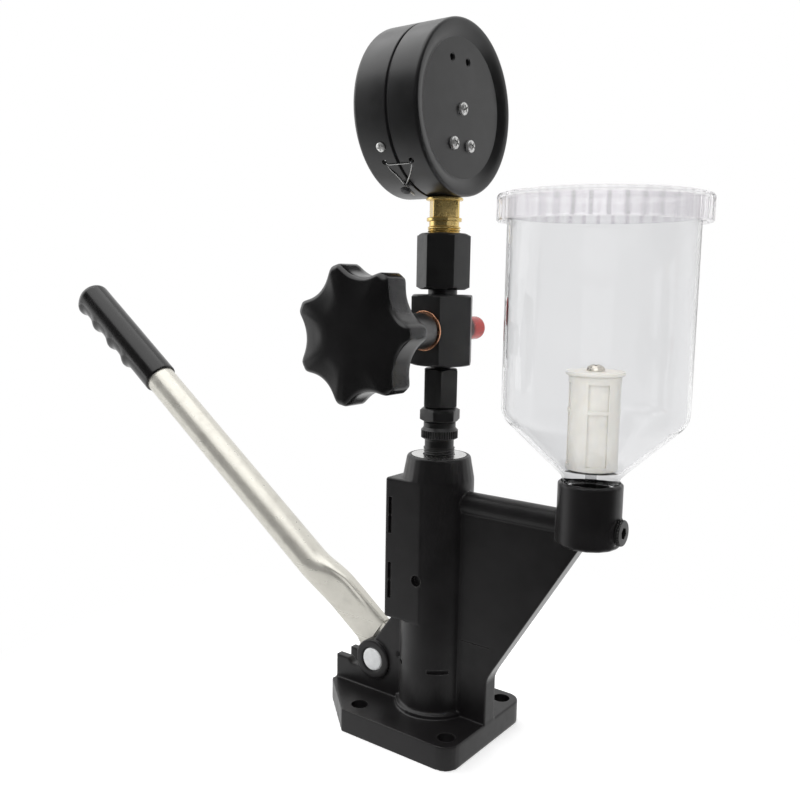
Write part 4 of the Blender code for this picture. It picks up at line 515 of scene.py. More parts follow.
def lathe(points, place=UP, count=96, angles=None, shape=None):
    """A turned solid: a ring where the profile stays off the axis. Shape may change each radius."""
    work = bmesh.new()
    angles = angles or round_angles(count)
    rows = []
    for radius, height in points:
        if radius <= 0.0:
            rows.append([work.verts.new(place @ Vector((0.0, 0.0, height)))])
            continue
        row = []
        for angle in angles:
            reach = shape(angle, radius, height) if shape else radius
            row.append(work.verts.new(place @ Vector((reach * cos(angle), reach * sin(angle), height))))
        rows.append(row)
    skin(work, rows, ring=min(radius for radius, _ in points) > 0.0)
    return smooth(closed(work))


def band(outer, inner, low, high, soft):
    """The section of a flat ring with soft corners."""
    return softened([(outer, high), (outer, low), (inner, low), (inner, high)], soft, ring=True)


def quarter(radius, height, bend, steps, first=0, rise=None):
    """Section points round a quarter turn, from facing along the axis to facing out."""
    rise = bend if rise is None else rise
    turns = [pi / 2.0 * index / steps for index in range(first, steps + 1)]
    return [(radius + bend * sin(turn), height + rise * cos(turn)) for turn in turns]


def rod(radius, low, high, place=UP, count=32):
    """A plain cutter cylinder."""
    return lathe([(0.0, high), (radius, high), (radius, low), (0.0, low)], place, count)


def block(low, high, place=UP):
    """A plain cutter box."""
    work = bmesh.new()
    low = Vector(low)
    high = Vector(high)
    size = Matrix.Translation((low + high) / 2.0) @ Matrix.Diagonal((*(high - low), 1.0))
    bmesh.ops.create_cube(work, size=1.0, matrix=place @ size)
    return closed(work)


def polygon_limit(sides, apothem, corner, turn):
    """The radius of a rounded polygon at each angle, and the angles that draw it well."""
    half = pi / sides
    centre = (apothem - corner) / cos(half)
    bend = atan2(corner * sin(half), centre + corner * cos(half))

    def limit(angle):
        off = (angle - turn) % (2.0 * half)
        off = min(off, 2.0 * half - off)
        if off < bend:
            return centre * cos(off) + sqrt(corner ** 2 - (centre * sin(off)) ** 2)
        return apothem / cos(half - off)

    angles = []
    for side in range(sides):
        middle = turn + 2.0 * half * side
        angles += [middle + bend * share for share in (-1.0, -0.6, -0.2, 0.2, 0.6, 1.0)]
        flat = 2.0 * half - 2.0 * bend
        angles += [middle + bend + flat * share for share in (0.2, 0.4, 0.6, 0.8)]
    return limit, angles


def hexagon_bar(flats, low, high, bore, chamfer, turn=0.0):
    """A hexagon bar with turned-off corners at both ends and a bore along it."""
    limit, angles = polygon_limit(6, flats / 2.0, 0.35, turn)
    corner = flats / sqrt(3.0)
    inner = flats / 2.0 - chamfer * 0.5
    steps = 8
    cone = [(inner + (corner - inner) * index / steps, chamfer * index / steps)
            for index in range(steps + 1)]
    profile = ([(bore, high)] + [(radius, high - depth) for radius, depth in cone]
               + [(radius, low + depth) for radius, depth in reversed(cone)] + [(bore, low)])
    return lathe(profile, angles=angles, shape=lambda angle, radius, height: min(radius, limit(angle)))


def thread(pitch, depth, low, high):
    """A change of radius that draws a thread between two heights."""
    def shape(angle, radius, height):
        if not low <= height <= high:
            return radius
        turn = (height / pitch - angle / FULL_TURN) % 1.0
        fade = min(1.0, (height - low) / pitch, (high - height) / pitch)
        return radius - depth * max(0.0, fade) * abs(2.0 * turn - 1.0)
    return shape


def stretch_points(radius, high, low, pitch, per_pitch=8):
    """Profile points down a threaded stretch."""
    count = max(2, int((high - low) / pitch * per_pitch))
    return [(radius, high - (high - low) * index / count) for index in range(count + 1)]


def ease(share):
    """A smooth step from 0 to 1."""
    share = min(1.0, max(0.0, share))
    return share * share * (3.0 - 2.0 * share)


def arc(centre, radius, start, end, count):
    """Points on an arc in a plane."""
    angles = [start + (end - start) * index / (count - 1) for index in range(count)]
    return [(centre[0] + radius * cos(angle), centre[1] + radius * sin(angle)) for angle in angles]


def extruded(outline, low, high, place=UP):
    """A flat outline in XY given a thickness along Z."""
    work = bmesh.new()
    top = [work.verts.new(place @ Vector((*point, high))) for point in outline]
    bottom = [work.verts.new(place @ Vector((*point, low))) for point in outline]
    work.faces.new(top)
    work.faces.new(list(reversed(bottom)))
    skin(work, [bottom, top])
    bmesh.ops.triangulate(work, faces=work.faces)
    return smooth(closed(work))


def tube(points, radius):
    """A round wire along a line of points, as a mesh."""
    curve = bpy.data.curves.new("wire", "CURVE")
    curve.dimensions = "3D"
    curve.bevel_depth = radius
    curve.bevel_resolution = 3
    curve.resolution_u = 6
    curve.use_fill_caps = True
    spline = curve.splines.new("NURBS")
    spline.points.add(len(points) - 1)
    for point, place in zip(spline.points, points):
        point.co = (*place, 1.0)
    spline.use_endpoint_u = True
    spline.order_u = 3
    return smooth(evaluated(added("wire", curve)))


# The casting

def points_of(mesh):
    """A mesh's points as rows of an array."""
    places = np.zeros(len(mesh.vertices) * 3)
    mesh.vertices.foreach_get("co", places)
    return places.reshape(-1, 3)


def move_points(mesh, places):
    """Put a mesh's points where an array says."""
    mesh.vertices.foreach_set("co", places.ravel())
    mesh.update()


def relaxed(mesh, rounds, strength=0.5):
    """Round a fine mesh's edges by moving each point towards its neighbours."""
    places = points_of(mesh)
    count = len(places)
    pairs = np.zeros(len(mesh.edges) * 2, dtype=np.int64)
    mesh.edges.foreach_get("vertices", pairs)
    one, other = pairs.reshape(-1, 2).T
    degree = np.bincount(one, minlength=count) + np.bincount(other, minlength=count)
    for _ in range(rounds):
        total = np.zeros_like(places)
        for column in range(3):
            total[:, column] = (np.bincount(one, places[other, column], count)
                                + np.bincount(other, places[one, column], count))
        places = places + strength * (total / degree[:, None] - places)
    move_points(mesh, places)


def rounded_out(mesh, centre, along, radius, start, end, slack=0.35, right_of=-1000.0):
    """Move points that lie just inside a cylinder's facets out to its true radius."""
    places = points_of(mesh)
    axis = np.array(along, float)
    offset = places - np.array(centre, float)
    travel = offset @ axis
    spoke = offset - travel[:, None] * axis
    reach = np.linalg.norm(spoke, axis=1)
    near = (travel > start) & (travel < end) & (reach > radius - slack) & (reach < radius + slack)
    near &= places[:, 0] > right_of
    places[near] += spoke[near] * ((radius - reach[near]) / reach[near])[:, None]
    move_points(mesh, places)


PAD_FACE = 22.6
COLUMN_RADIUS = 22.5
COLLAR_RADIUS = 18.1
ARM_RADIUS = 7.6
ARM_Z = 151.3
EAR_RADIUS = 13.3
VOXEL = 0.62
SLOT_HEIGHTS = (99.0, 141.2)
SLOT_X = -20.6
SCREW_HOLE = Matrix.Translation((-0.1, 0.0, 102.7)) @ TO_FRONT
FOOT_SLOT_Z = 45.2
FOOT_SLOT_AZIMUTHS = (radians(40.0), radians(-50.0))
BASE_HOLES = [Matrix.Translation((across, side, 0.0)) for across in (-35.5, 31.9)
              for side in (-32.5, 32.5)]


def casting_fillers():
    """Plugs for the small holes, so that the softening leaves their faces flat."""
    made = [block((SLOT_X - 2.2, -PAD_FACE, middle - 12.5), (SLOT_X + 2.2, -18.9, middle + 12.5))
            for middle in SLOT_HEIGHTS]
    made.append(rod(4.4, 19.2, PAD_FACE, SCREW_HOLE))
    made += [rod(6.6, 0.0, 15.0, place) for place in BASE_HOLES]
    for azimuth in FOOT_SLOT_AZIMUTHS:
        middle = azimuth - pi / 2.0
        sector = (arc(ORIGIN, 22.45, middle - 0.36, middle + 0.36, 14)
                  + arc(ORIGIN, 19.0, middle + 0.36, middle - 0.36, 14))
        made.append(extruded(sector, FOOT_SLOT_Z - 1.9, FOOT_SLOT_Z + 1.9))
    return made


def casting_cutters():
    """The casting's crisp slots, drilled holes and the recess round the cup's neck."""
    made = []
    for middle in SLOT_HEIGHTS:
        for shift in (-6.1, 6.1):
            height = middle + shift
            made.append(block((SLOT_X - 1.4, -24.0, height - 5.6), (SLOT_X + 1.3, -19.8, height + 5.6)))
    made.append(rod(3.5, 19.3, 26.0, SCREW_HOLE, 40))
    made += [rod(5.5, -2.0, 17.0, place, 48) for place in BASE_HOLES]
    for azimuth in FOOT_SLOT_AZIMUTHS:
        place = Matrix.Translation((0.0, 0.0, FOOT_SLOT_Z)) @ Matrix.Rotation(azimuth, 4, "Z")
        made.append(block((-7.0, -24.5, -1.3), (7.0, -20.2, 1.3), place))
    made.append(rod(16.4, 174.6, 180.0, CUP_AXIS, 72))
    made.append(block((24.0, -8.0, 65.1), (44.0, -5.35, 65.7)))
    return made


def make_casting():
    """The stand: the CAD casting with true rounds, soft cast edges and crisp drilled holes."""
    made = added("helper", merged(node_mesh("pump_body"), *casting_fillers()))
    remesh = made.modifiers.new("remesh", "REMESH")
    remesh.mode = "VOXEL"
    remesh.voxel_size = VOXEL
    mesh = evaluated(made)
    rounded_out(mesh, ORIGIN, AXIS_Z, COLUMN_RADIUS, 19.0, 74.0)
    rounded_out(mesh, ORIGIN, AXIS_Z, COLUMN_RADIUS, 74.0, 164.5, right_of=4.0)
    rounded_out(mesh, (CUP_X, 0.0, 0.0), AXIS_Z, COLLAR_RADIUS, 142.5, 176.5, 0.5)
    rounded_out(mesh, (0.0, 0.0, ARM_Z), AXIS_X, ARM_RADIUS, 22.0, 85.0)
    rounded_out(mesh, PIVOT, AXIS_Y, EAR_RADIUS, -13.2, 13.2, 0.5)
    relaxed(mesh, 3)
    necks = [block((SLOT_X - 0.9, -24.0, middle - 3.0), (SLOT_X + 0.7, -19.9, middle + 3.0))
             for middle in SLOT_HEIGHTS]
    mesh = cut(mesh, merged(*casting_cutters()))
    dress("pump_body", smooth(cut(mesh, merged(*necks)), 48.0), "cast")


# Pump head and hexagons

PASSAGE = 1.5


def make_stack():
    """The delivery valve holder, union nut, riser, valve block and gauge coupling."""
    low, top = heights("delivery_valve_holder")
    column_top = box("pump_cylinder")[1].z
    neck = column_top + 4.5
    ring = neck + 5.5
    shank = ring + 6.5
    shoulder = shank + 4.2
    teeth = 44
    cut_thread = thread(1.5, 0.75, column_top - 3.0, neck)

    def holder_shape(angle, radius, height):
        if ring + 1.2 < height < shank - 1.2 and radius > 10.0:
            return radius - 0.55 * abs((angle * teeth / FULL_TURN) % 1.0 * 2.0 - 1.0)
        return cut_thread(angle, radius, height)

    body = [(6.4, top), (6.4, shoulder), (9.6, shoulder), (10.0, shoulder - 0.4), (10.0, shank + 0.9),
            (10.7, shank), (11.5, shank - 0.8), (11.5, shank - 1.25), (11.5, ring + 1.25),
            (11.5, ring + 0.8), (9.5, ring - 0.3), (9.1, ring - 0.9), (9.1, neck + 0.5)]
    body += stretch_points(9.8, neck, column_top - 3.0, 1.5)
    body += [(9.8, low), (5.0, low), (5.0, ring), (PASSAGE, ring), (PASSAGE, top)]
    dress("delivery_valve_holder", lathe(body, count=176, shape=holder_shape), "oxide")

    low, high = heights("union_nut")
    dress("union_nut", hexagon_bar(22.0, low, high, 6.7, 1.4, radians(-14.3)), "oxide")

    low, high = heights("riser_connector")
    bar_low = box("union_nut")[1].z + 0.3
    bar_high = bar_low + 24.2
    riser = merged(hexagon_bar(20.0, bar_low, bar_high, PASSAGE, 1.2, radians(6.0)),
                   lathe(band(6.4, PASSAGE, low, bar_low + 0.5, 0.3), count=64),
                   lathe(band(6.1, PASSAGE, bar_high - 0.5, high, 0.3), count=64))
    dress("riser_connector", smooth(riser), "oxide")

    low, high = heights("valve_block")
    bar = hexagon_bar(36.0, low, high, PASSAGE, 1.2)
    bar = cut(bar, rod(8.0, 9.7, 22.0, VALVE_AXIS @ TO_FRONT, 48),
              rod(3.3, 0.4, 12.0, VALVE_AXIS @ TO_FRONT, 32),
              rod(6.0, 9.7, 22.0, VALVE_AXIS @ TO_REAR, 48), rod(6.4, low - 2.0, low + 4.8),
              rod(9.2, high - 5.3, high + 2.0, count=48))
    dress("valve_block", smooth(bar), "oxide")

    low, high = heights("gauge_adapter")
    bar_low = high - 33.7
    adapter = cut(hexagon_bar(28.5, bar_low, high, PASSAGE, 1.5, radians(-33.0)),
                  rod(10.3, high - 14.0, high + 2.0, count=64))
    neck = lathe(band(8.9, PASSAGE, low, bar_low + 0.5, 0.3), count=64)
    dress("gauge_adapter", smooth(merged(adapter, neck)), "oxide")


# Lever and grip

ALONG = Vector((-cos(LEVER_ANGLE), 0.0, sin(LEVER_ANGLE)))
ACROSS = Vector((sin(LEVER_ANGLE), 0.0, cos(LEVER_ANGLE)))
LEVER_OFFSET = 4.0
TUBE_RADIUS = 11.5
FLAT_CENTRE = 7.35
FLAT_HALF_WIDTH = 13.85
FLAT_HALF_THICKNESS = 4.0
FLAT_POWER = 0.34
FLAT_END = 48.0
ROUND_START = 84.0
LEVER_END = 394.2
GRIP_START = 285.0
GRIP_TIP = 398.5
RIDGES = (391.5, 368.0, 344.5, 321.0)


def on_lever(reach, offset, side=0.0):
    """A point from the pivot: along the lever, across it and to the rear."""
    return PIVOT + ALONG * reach + ACROSS * offset + Vector((0.0, side, 0.0))


def lever_section(reach, count):
    """Points round the lever: a flattened tube near the pivot, a round tube further out."""
    share = ease((reach - FLAT_END) / (ROUND_START - FLAT_END))
    centre = FLAT_CENTRE + (LEVER_OFFSET - FLAT_CENTRE) * share
    wide = FLAT_HALF_WIDTH + (TUBE_RADIUS - FLAT_HALF_WIDTH) * share
    thick = FLAT_HALF_THICKNESS + (TUBE_RADIUS - FLAT_HALF_THICKNESS) * share
    power = FLAT_POWER + (1.0 - FLAT_POWER) * share
    bead = (1.0 - share) * ease((reach - 24.0) / 16.0)
    points = []
    for index in range(count):
        angle = FULL_TURN * index / count
        side = copysign(abs(cos(angle)) ** power, cos(angle))
        front = copysign(abs(sin(angle)) ** power, sin(angle))
        lip = exp(-((side - 0.93) / 0.07) ** 2) - 0.7 * exp(-((side - 0.74) / 0.09) ** 2)
        front *= 1.0 + 0.13 * bead * lip
        points.append(on_lever(reach, centre + wide * side, thick * front))
    return points


def make_lever():
    """The drawn tube, pressed flat at its pivot, with the nose that lifts the tappet."""
    count = 96
    reaches = [12.0 + 2.0 * index for index in range(18)] + [48.0 + 1.2 * index for index in range(31)]
    reaches += [90.0 + 12.0 * index for index in range(25)]
    pipe = smooth(swept([lever_section(reach, count) for reach in reaches + [LEVER_END]]), 60.0)

    def local(reach, offset):
        place = ALONG * reach + ACROSS * offset
        return (place.x, place.z)

    nose = (-0.355 - PIVOT.x, 31.28 - PIVOT.z)
    nose_radius = 8.0
    heel_radius = 13.0
    flank = -17.9 - PIVOT.x
    high = FLAT_CENTRE + FLAT_HALF_WIDTH - 1.0
    lower = FLAT_CENTRE - FLAT_HALF_WIDTH + 0.6
    outline = ([local(20.0, high), local(20.0, lower)]
               + arc(ORIGIN, heel_radius, pi + LEVER_ANGLE, 1.5 * pi, 14)
               + arc(nose, nose_radius, -0.5 * pi, 0.5 * pi, 28)
               + [(flank, nose[1] + nose_radius - 1.0), (flank - nose_radius, heel_radius + 1.0),
                  local(0.0, high)])
    place = PIVOT_PLACE @ TO_FRONT
    heel = extruded(outline, -3.4, 3.4, place)
    hole = rod(5.5, -6.0, 6.0, place, 48)
    dress("lever", merged(cut(pipe, hole), cut(heel, hole)), "zinc")


def make_grip():
    """The dipped grip with four finger ridges on its lower side."""
    turn = Matrix((-ACROSS, ALONG.cross(-ACROSS), ALONG)).transposed().to_4x4()
    place = Matrix.Translation(on_lever(0.0, LEVER_OFFSET)) @ turn
    outside = 13.1
    inside = TUBE_RADIUS + 0.15
    rounding = 6.5

    def shape(angle, radius, reach):
        if radius < inside + 0.5 or reach > GRIP_TIP - 0.5:
            return radius
        below = max(0.0, cos(angle)) ** 1.3
        rise = sum(exp(-((reach - ridge) / 4.6) ** 2) for ridge in RIDGES)
        return radius + 3.7 * below * min(1.0, rise) * min(1.0, radius / outside) ** 3

    tip = quarter(outside - rounding, GRIP_TIP - rounding, rounding, 10)
    straight = [(outside, GRIP_TIP - rounding - (GRIP_TIP - rounding - GRIP_START - 1.5) * index / 70)
                for index in range(1, 71)]
    mouth = [(outside - 0.1, GRIP_START + 0.7), (outside - 0.5, GRIP_START + 0.15),
             (outside - 0.9, GRIP_START), (inside, GRIP_START + 0.3), (inside, LEVER_END + 0.15)]
    points = [(0.0, GRIP_TIP), (3.0, GRIP_TIP)] + tip + straight + mouth + [(0.0, LEVER_END + 0.15)]
    dress("lever_grip", smooth(lathe(points, place, 72, shape=shape), 50.0), "grip")


def make_pivot():
    """The pivot pin with its chamfered head, and the clip behind the far ear."""
    face = -box("pivot_pin")[0].y
    rear = -box("pivot_pin")[1].y
    place = PIVOT_PLACE @ TO_FRONT
    groove = -13.15
    points = softened([(0.0, face - 0.05), (7.0, face), (7.7, face - 0.7), (7.7, face - 2.4),
                       (5.2, face - 2.4), (5.2, groove + 0.3), (4.2, groove + 0.3), (4.2, groove - 1.5),
                       (5.2, groove - 1.5), (5.2, rear + 0.3), (4.8, rear), (0.0, rear)], 0.25)
    dress("pivot_pin", lathe(points, place, 64), "pin")
    clip = lathe(band(8.2, 4.5, -groove, -groove + 1.2, 0.2), PIVOT_PLACE @ TO_REAR, 64)
    slit = block((-2.6, -10.0, 12.0), (2.6, 0.0, 16.0), PIVOT_PLACE @ TO_REAR)
    dress("pivot_clip", smooth(cut(clip, slit)), "oxide")


# Shut-off valve

KNOB_RADIUS = 39.3
KNOB_VALLEY = 32.0
KNOB_SCALLOP = 20.0
KNOB_LOBES = 7
KNOB_FIRST_LOBE = radians(106.8)
KNOB_FRONT = 91.0
KNOB_BACK = 71.0
KNOB_HUB = 12.5


def knob_outline(angle):
    """The knob's reach: a round with seven scallops and blunt lobes."""
    pitch = FULL_TURN / KNOB_LOBES
    swing = pi / KNOB_LOBES - (angle - KNOB_FIRST_LOBE) % pitch
    centre = KNOB_VALLEY + KNOB_SCALLOP
    spare = KNOB_SCALLOP ** 2 - (centre * sin(swing)) ** 2
    if spare <= 0.0:
        return KNOB_RADIUS
    scallop = centre * cos(swing) - sqrt(spare)
    soft = 1.7
    least = min(KNOB_RADIUS, scallop)
    return least - soft * log(exp((least - KNOB_RADIUS) / soft) + exp((least - scallop) / soft))


def make_knob():
    """The seven-lobed star knob with a slightly domed face and a hub."""
    def shape(angle, radius, height):
        if height < KNOB_BACK - 0.1:
            return radius
        star = ease((radius - 14.0) / 14.0)
        return radius * (1.0 + (knob_outline(angle) / KNOB_RADIUS - 1.0) * star)

    dome = 1.7
    edge = 4.0
    brow = KNOB_RADIUS - edge
    face = [(brow * share, KNOB_FRONT - dome * share ** 2.2)
            for share in (0.12 * index for index in range(1, 8))]
    face.append((brow, KNOB_FRONT - dome))
    start = KNOB_FRONT - dome - edge
    corner = quarter(brow, start, edge, 7, 1)
    wall = [(KNOB_RADIUS, start - (start - KNOB_BACK - 1.2) * index / 4) for index in range(1, 5)]
    back = [(KNOB_RADIUS - 0.35, KNOB_BACK + 0.35), (KNOB_RADIUS - 1.2, KNOB_BACK),
            (KNOB_RADIUS - 4.0, KNOB_BACK), (KNOB_RADIUS - 5.0, KNOB_BACK + 1.5), (24.0, KNOB_BACK + 1.8),
            (16.0, KNOB_BACK + 1.5), (14.0, KNOB_BACK + 0.4), (KNOB_HUB, KNOB_BACK - 1.2),
            (KNOB_HUB - 0.4, KNOB_BACK - 10.0), (KNOB_HUB - 1.4, KNOB_BACK - 11.0),
            (4.8, KNOB_BACK - 11.0), (4.3, KNOB_BACK - 10.5), (4.3, KNOB_FRONT - 3.8),
            (0.0, KNOB_FRONT - 3.8)]
    points = [(0.0, KNOB_FRONT)] + face + corner + wall + back
    dress("star_knob", smooth(lathe(points, VALVE_AXIS @ TO_FRONT, 280, shape=shape), 45.0), "knob")


def make_valve():
    """The bonnet with its copper washer, the spindle, the outlet nipple and its cap."""
    front = VALVE_AXIS @ TO_FRONT
    rear = VALVE_AXIS @ TO_REAR
    dress("bonnet_washer", lathe(band(12.0, 8.0, 18.3, 19.7, 0.45), front), "copper")
    bonnet = [(9.6, 53.0), (10.8, 52.0), (10.8, 20.3), (10.5, 20.0), (7.7, 20.0), (7.7, 10.0),
              (4.3, 10.0), (4.3, 45.0), (6.9, 45.0), (6.9, 53.0)]
    dress("valve_bonnet", lathe(softened(bonnet, 0.2, ring=True), front), "satin")
    spindle = ([(0.0, 86.7), (4.0, 86.7)] + stretch_points(4.0, 62.0, 50.0, 1.25)
               + [(4.0, 10.0), (0.0, 10.0)])
    dress("valve_spindle", lathe(spindle, front, 48, shape=thread(1.25, 0.5, 50.0, 62.0)), "steel")
    end = box("outlet_nipple")[1].y
    nipple = ([(4.9, end), (5.7, end - 0.8)] + stretch_points(5.7, end - 2.0, 24.0, 1.5)
              + [(5.2, 23.0), (5.2, 21.3), (8.1, 21.3), (8.4, 21.0), (8.4, 18.6), (8.1, 18.3),
                 (5.7, 18.3), (5.7, 10.0), (PASSAGE, 10.0), (PASSAGE, end)])
    dress("outlet_nipple", lathe(nipple, rear, 64, shape=thread(1.5, 0.7, 23.0, end - 1.0)), "oxide")
    mouth, tip = (corner.y for corner in box("dust_cap"))
    bend = 3.0
    dome = quarter(7.4 - bend, tip - bend, bend, 8)
    side = [(7.4, mouth + 2.6), (7.7, mouth + 2.2), (7.7, mouth + 0.3), (7.4, mouth), (6.0, mouth),
            (6.0, tip - 1.6), (0.0, tip - 1.6)]
    dress("dust_cap", lathe([(0.0, tip)] + dome + side, rear, 64), "red")


# Gauge

CASE_RADIUS = 50.5
CASE_INNER = 47.8
WIRE_ANGLE = radians(-131.0)
WIRE_FRONT = -16.6
WIRE_REAR = 2.5
SEAL_ANGLE = radians(-153.7)
SEAL_X = -11.8
BEZEL_SCREW_ANGLE = radians(-120.0)
BEZEL_SCREW_X = -15.0
BACK_SCREW_TURNS = {"back_screw_centre": 0.5, "back_screw_left": 1.1, "back_screw_right": 1.1}
DIAL_RADIUS = 47.5
DIAL_START = radians(-45.0)
DIAL_SWEEP = radians(270.0)
DIAL_DIVISIONS = 60
SCALE_RADIUS = 42.0
INK_HEIGHT = 0.06


def cross_head(radius, height, foot, shank, place, dome=0.55):
    """A pan-head screw with a cross recess, its head's underside at height 0."""
    bulge = quarter(0.0, height * (1.0 - dome), radius, 8, 1, height * dome)
    points = [(0.0, height)] + bulge + [(radius, 0.0), (shank, 0.0), (shank, foot), (0.0, foot)]
    arm = radius * 0.62
    slot = radius * 0.13
    bars = [block((-arm, -slot, height * 0.35), (arm, slot, height * 2.0), place),
            block((-slot, -arm, height * 0.35), (slot, arm, height * 2.0), place)]
    return smooth(cut(lathe(points, place, 40), *bars))


def on_case(across, angle):
    """A frame on the gauge's side whose Z axis points out, at an angle from the top."""
    return Matrix.Translation((across, 0.0, GAUGE_Z)) @ Matrix.Rotation(-angle, 4, "X")


def case_point(across, angle, proud):
    """A point just off the gauge's side."""
    return on_case(across, angle) @ Vector((0.0, 0.0, CASE_RADIUS + proud))


def make_socket():
    """The brass socket: thread, ring, square for a spanner, flange and the block in the case."""
    low = box("gauge_socket")[0].z
    seat = box("gauge_adapter")[1].z
    thread_top = seat + 3.6
    groove_top = thread_top + 3.3
    ring_top = groove_top + 2.4
    square_top = ring_top + 10.1
    flange_top = square_top + 1.6
    limit, _ = polygon_limit(4, 8.0, 0.3, 0.0)
    cut_thread = thread(1.4, 0.7, seat - 3.0, thread_top + 0.3)

    def shape(angle, radius, height):
        if ring_top - 0.05 < height < square_top + 0.05:
            return min(radius, limit(angle))
        return cut_thread(angle, radius, height)

    square = [(9.9, square_top), (10.15, square_top - 0.25), (10.15, ring_top + 0.3), (9.9, ring_top)]
    points = ([(0.0, 343.9), (5.6, 343.9), (5.6, flange_top), (11.0, flange_top),
               (11.2, flange_top - 0.2), (11.2, square_top + 0.4), (11.0, square_top + 0.1)] + square
              + [(10.3, ring_top - 0.1), (10.6, ring_top - 0.4), (10.6, groove_top + 0.4),
                 (10.3, groove_top + 0.1), (9.1, groove_top), (9.1, thread_top + 0.6)]
              + stretch_points(10.0, thread_top, seat - 3.0, 1.4) + [(10.0, low), (0.0, low)])
    inner = block((-6.0, -15.9, 343.4), (7.7, 15.9, GAUGE_Z - 15.0))
    dress("gauge_socket", smooth(merged(lathe(points, count=180, shape=shape), inner)), "brass")


def make_case():
    """The gauge's case and bezel: turned skins with holes for vents, screws and the seal wire."""
    place = GAUGE_AXIS @ TO_RIGHT
    slope = [(40.0 + 8.5 * share, 14.0 - 3.0 * (1.0 - share) ** 2)
             for share in (index / 10 for index in range(11))]
    brow = quarter(48.5, 12.0, 2.0, 8, 1)
    mouth = [(CASE_RADIUS, -5.7), (CASE_RADIUS - 0.25, -6.1), (49.3, -6.3), (49.1, -6.7),
             (CASE_INNER, -6.7), (CASE_INNER, 8.0), (0.0, 8.0)]
    points = [(0.0, 11.0)] + slope + brow + mouth
    flare = [(0.0, 15.0), (2.6, 15.0), (2.6, 11.02), (1.9, 10.4), (1.9, 5.0), (0.0, 5.0)]
    holes = [lathe(flare, Matrix.Translation((0.0, side, GAUGE_Z + 27.3)) @ TO_RIGHT, 24)
             for side in (-11.5, 5.0)]
    low = box("gauge_case")[0].z
    holes.append(rod(5.9, low - 2.0, low + 6.0, count=48))
    holes.append(rod(1.7, 45.0, 53.0, on_case(WIRE_REAR, WIRE_ANGLE), 24))
    dress("gauge_case", smooth(cut(lathe(points, place, 144), *holes), 25.0), "gauge")

    brow = quarter(CASE_RADIUS - 3.0, -28.6, 3.0, 8, rise=-3.0)[::-1]
    points = ([(49.1, -7.0), (49.3, -7.5), (CASE_RADIUS - 0.25, -7.8), (CASE_RADIUS, -8.2)] + brow
              + [(45.3, -31.6), (45.0, -31.3), (45.0, -29.4), (CASE_INNER, -29.4), (CASE_INNER, -7.0)])
    holes = [rod(1.7, 45.0, 53.0, on_case(BEZEL_SCREW_X, BEZEL_SCREW_ANGLE), 24),
             rod(1.7, 45.0, 53.0, on_case(WIRE_FRONT, WIRE_ANGLE), 24)]
    dress("gauge_bezel", smooth(cut(lathe(points, place, 144), *holes), 25.0), "gauge")

    window = softened([(0.0, -26.6), (DIAL_RADIUS, -26.6), (DIAL_RADIUS, -29.1), (0.0, -29.1)], 0.4)
    dress("gauge_window", lathe(window, place, 128), "glass")


def make_gauge_trim():
    """Screws, the seal wire and the lead seal."""
    back = 11.1
    for name, turn in BACK_SCREW_TURNS.items():
        middle = centre_of(name)
        place = Matrix.Translation((back, middle.y, middle.z)) @ TO_RIGHT @ Matrix.Rotation(turn, 4, "Z")
        dress(name, cross_head(3.8, 2.7, -7.9, 1.7, place), "screw")
    place = on_case(BEZEL_SCREW_X, BEZEL_SCREW_ANGLE) @ Matrix.Translation((0.0, 0.0, CASE_RADIUS + 0.1))
    dress("bezel_screw", cross_head(2.8, 1.4, -3.0, 1.4, place), "screw")

    knot = case_point(SEAL_X, SEAL_ANGLE + 0.03, 0.8)
    front = case_point(WIRE_FRONT, WIRE_ANGLE, -1.5)
    rear = case_point(WIRE_REAR, WIRE_ANGLE, -1.5)
    low_edge = WIRE_ANGLE - 0.03
    span = [case_point(WIRE_FRONT + 1.0 + (WIRE_REAR - WIRE_FRONT - 2.0) * index / 4, low_edge, 0.35)
            for index in range(5)]
    across = tube([front] + span + [rear], 0.3)
    falls = tube([rear, case_point(1.7, WIRE_ANGLE - 0.06, 0.4), case_point(-4.0, -2.50, 0.5), knot], 0.3)
    swings = tube([front, case_point(-16.0, WIRE_ANGLE - 0.06, 0.4), case_point(-11.6, -2.50, 0.5), knot],
                  0.3)
    tail = tube([knot, case_point(-12.9, -2.80, 0.7), case_point(-13.9, -2.90, 0.5)], 0.25)
    dress("seal_wire", merged(across, falls, swings, tail), "steel")
    disc = softened([(0.0, 2.3), (2.6, 2.3), (3.2, 1.2), (2.6, 0.1), (0.0, 0.1)], 0.5)
    centre = on_case(SEAL_X, SEAL_ANGLE) @ Matrix.Translation((0.0, 0.0, CASE_RADIUS + 1.7))

    def dented(angle, radius, height):
        return radius * (1.0 + 0.05 * cos(2.0 * angle + 0.6) + 0.03 * cos(5.0 * angle))

    dress("lead_seal", lathe(disc, centre, 40, shape=dented), "lead")


def dial_place(angle, radius, lift=0.0):
    """A frame on the dial that faces -X, with its Y axis pointing out from the centre."""
    turn = Matrix(((0.0, 0.0, -1.0, 0.0), (-1.0, 0.0, 0.0, 0.0), (0.0, 1.0, 0.0, 0.0),
                   (0.0, 0.0, 0.0, 1.0)))
    spin = Matrix.Rotation(angle - pi / 2.0, 4, "X")
    centre = Matrix.Translation((box("gauge_dial")[0].x - lift, 0.0, GAUGE_Z))
    return centre @ spin @ turn @ Matrix.Translation((0.0, radius, 0.0))


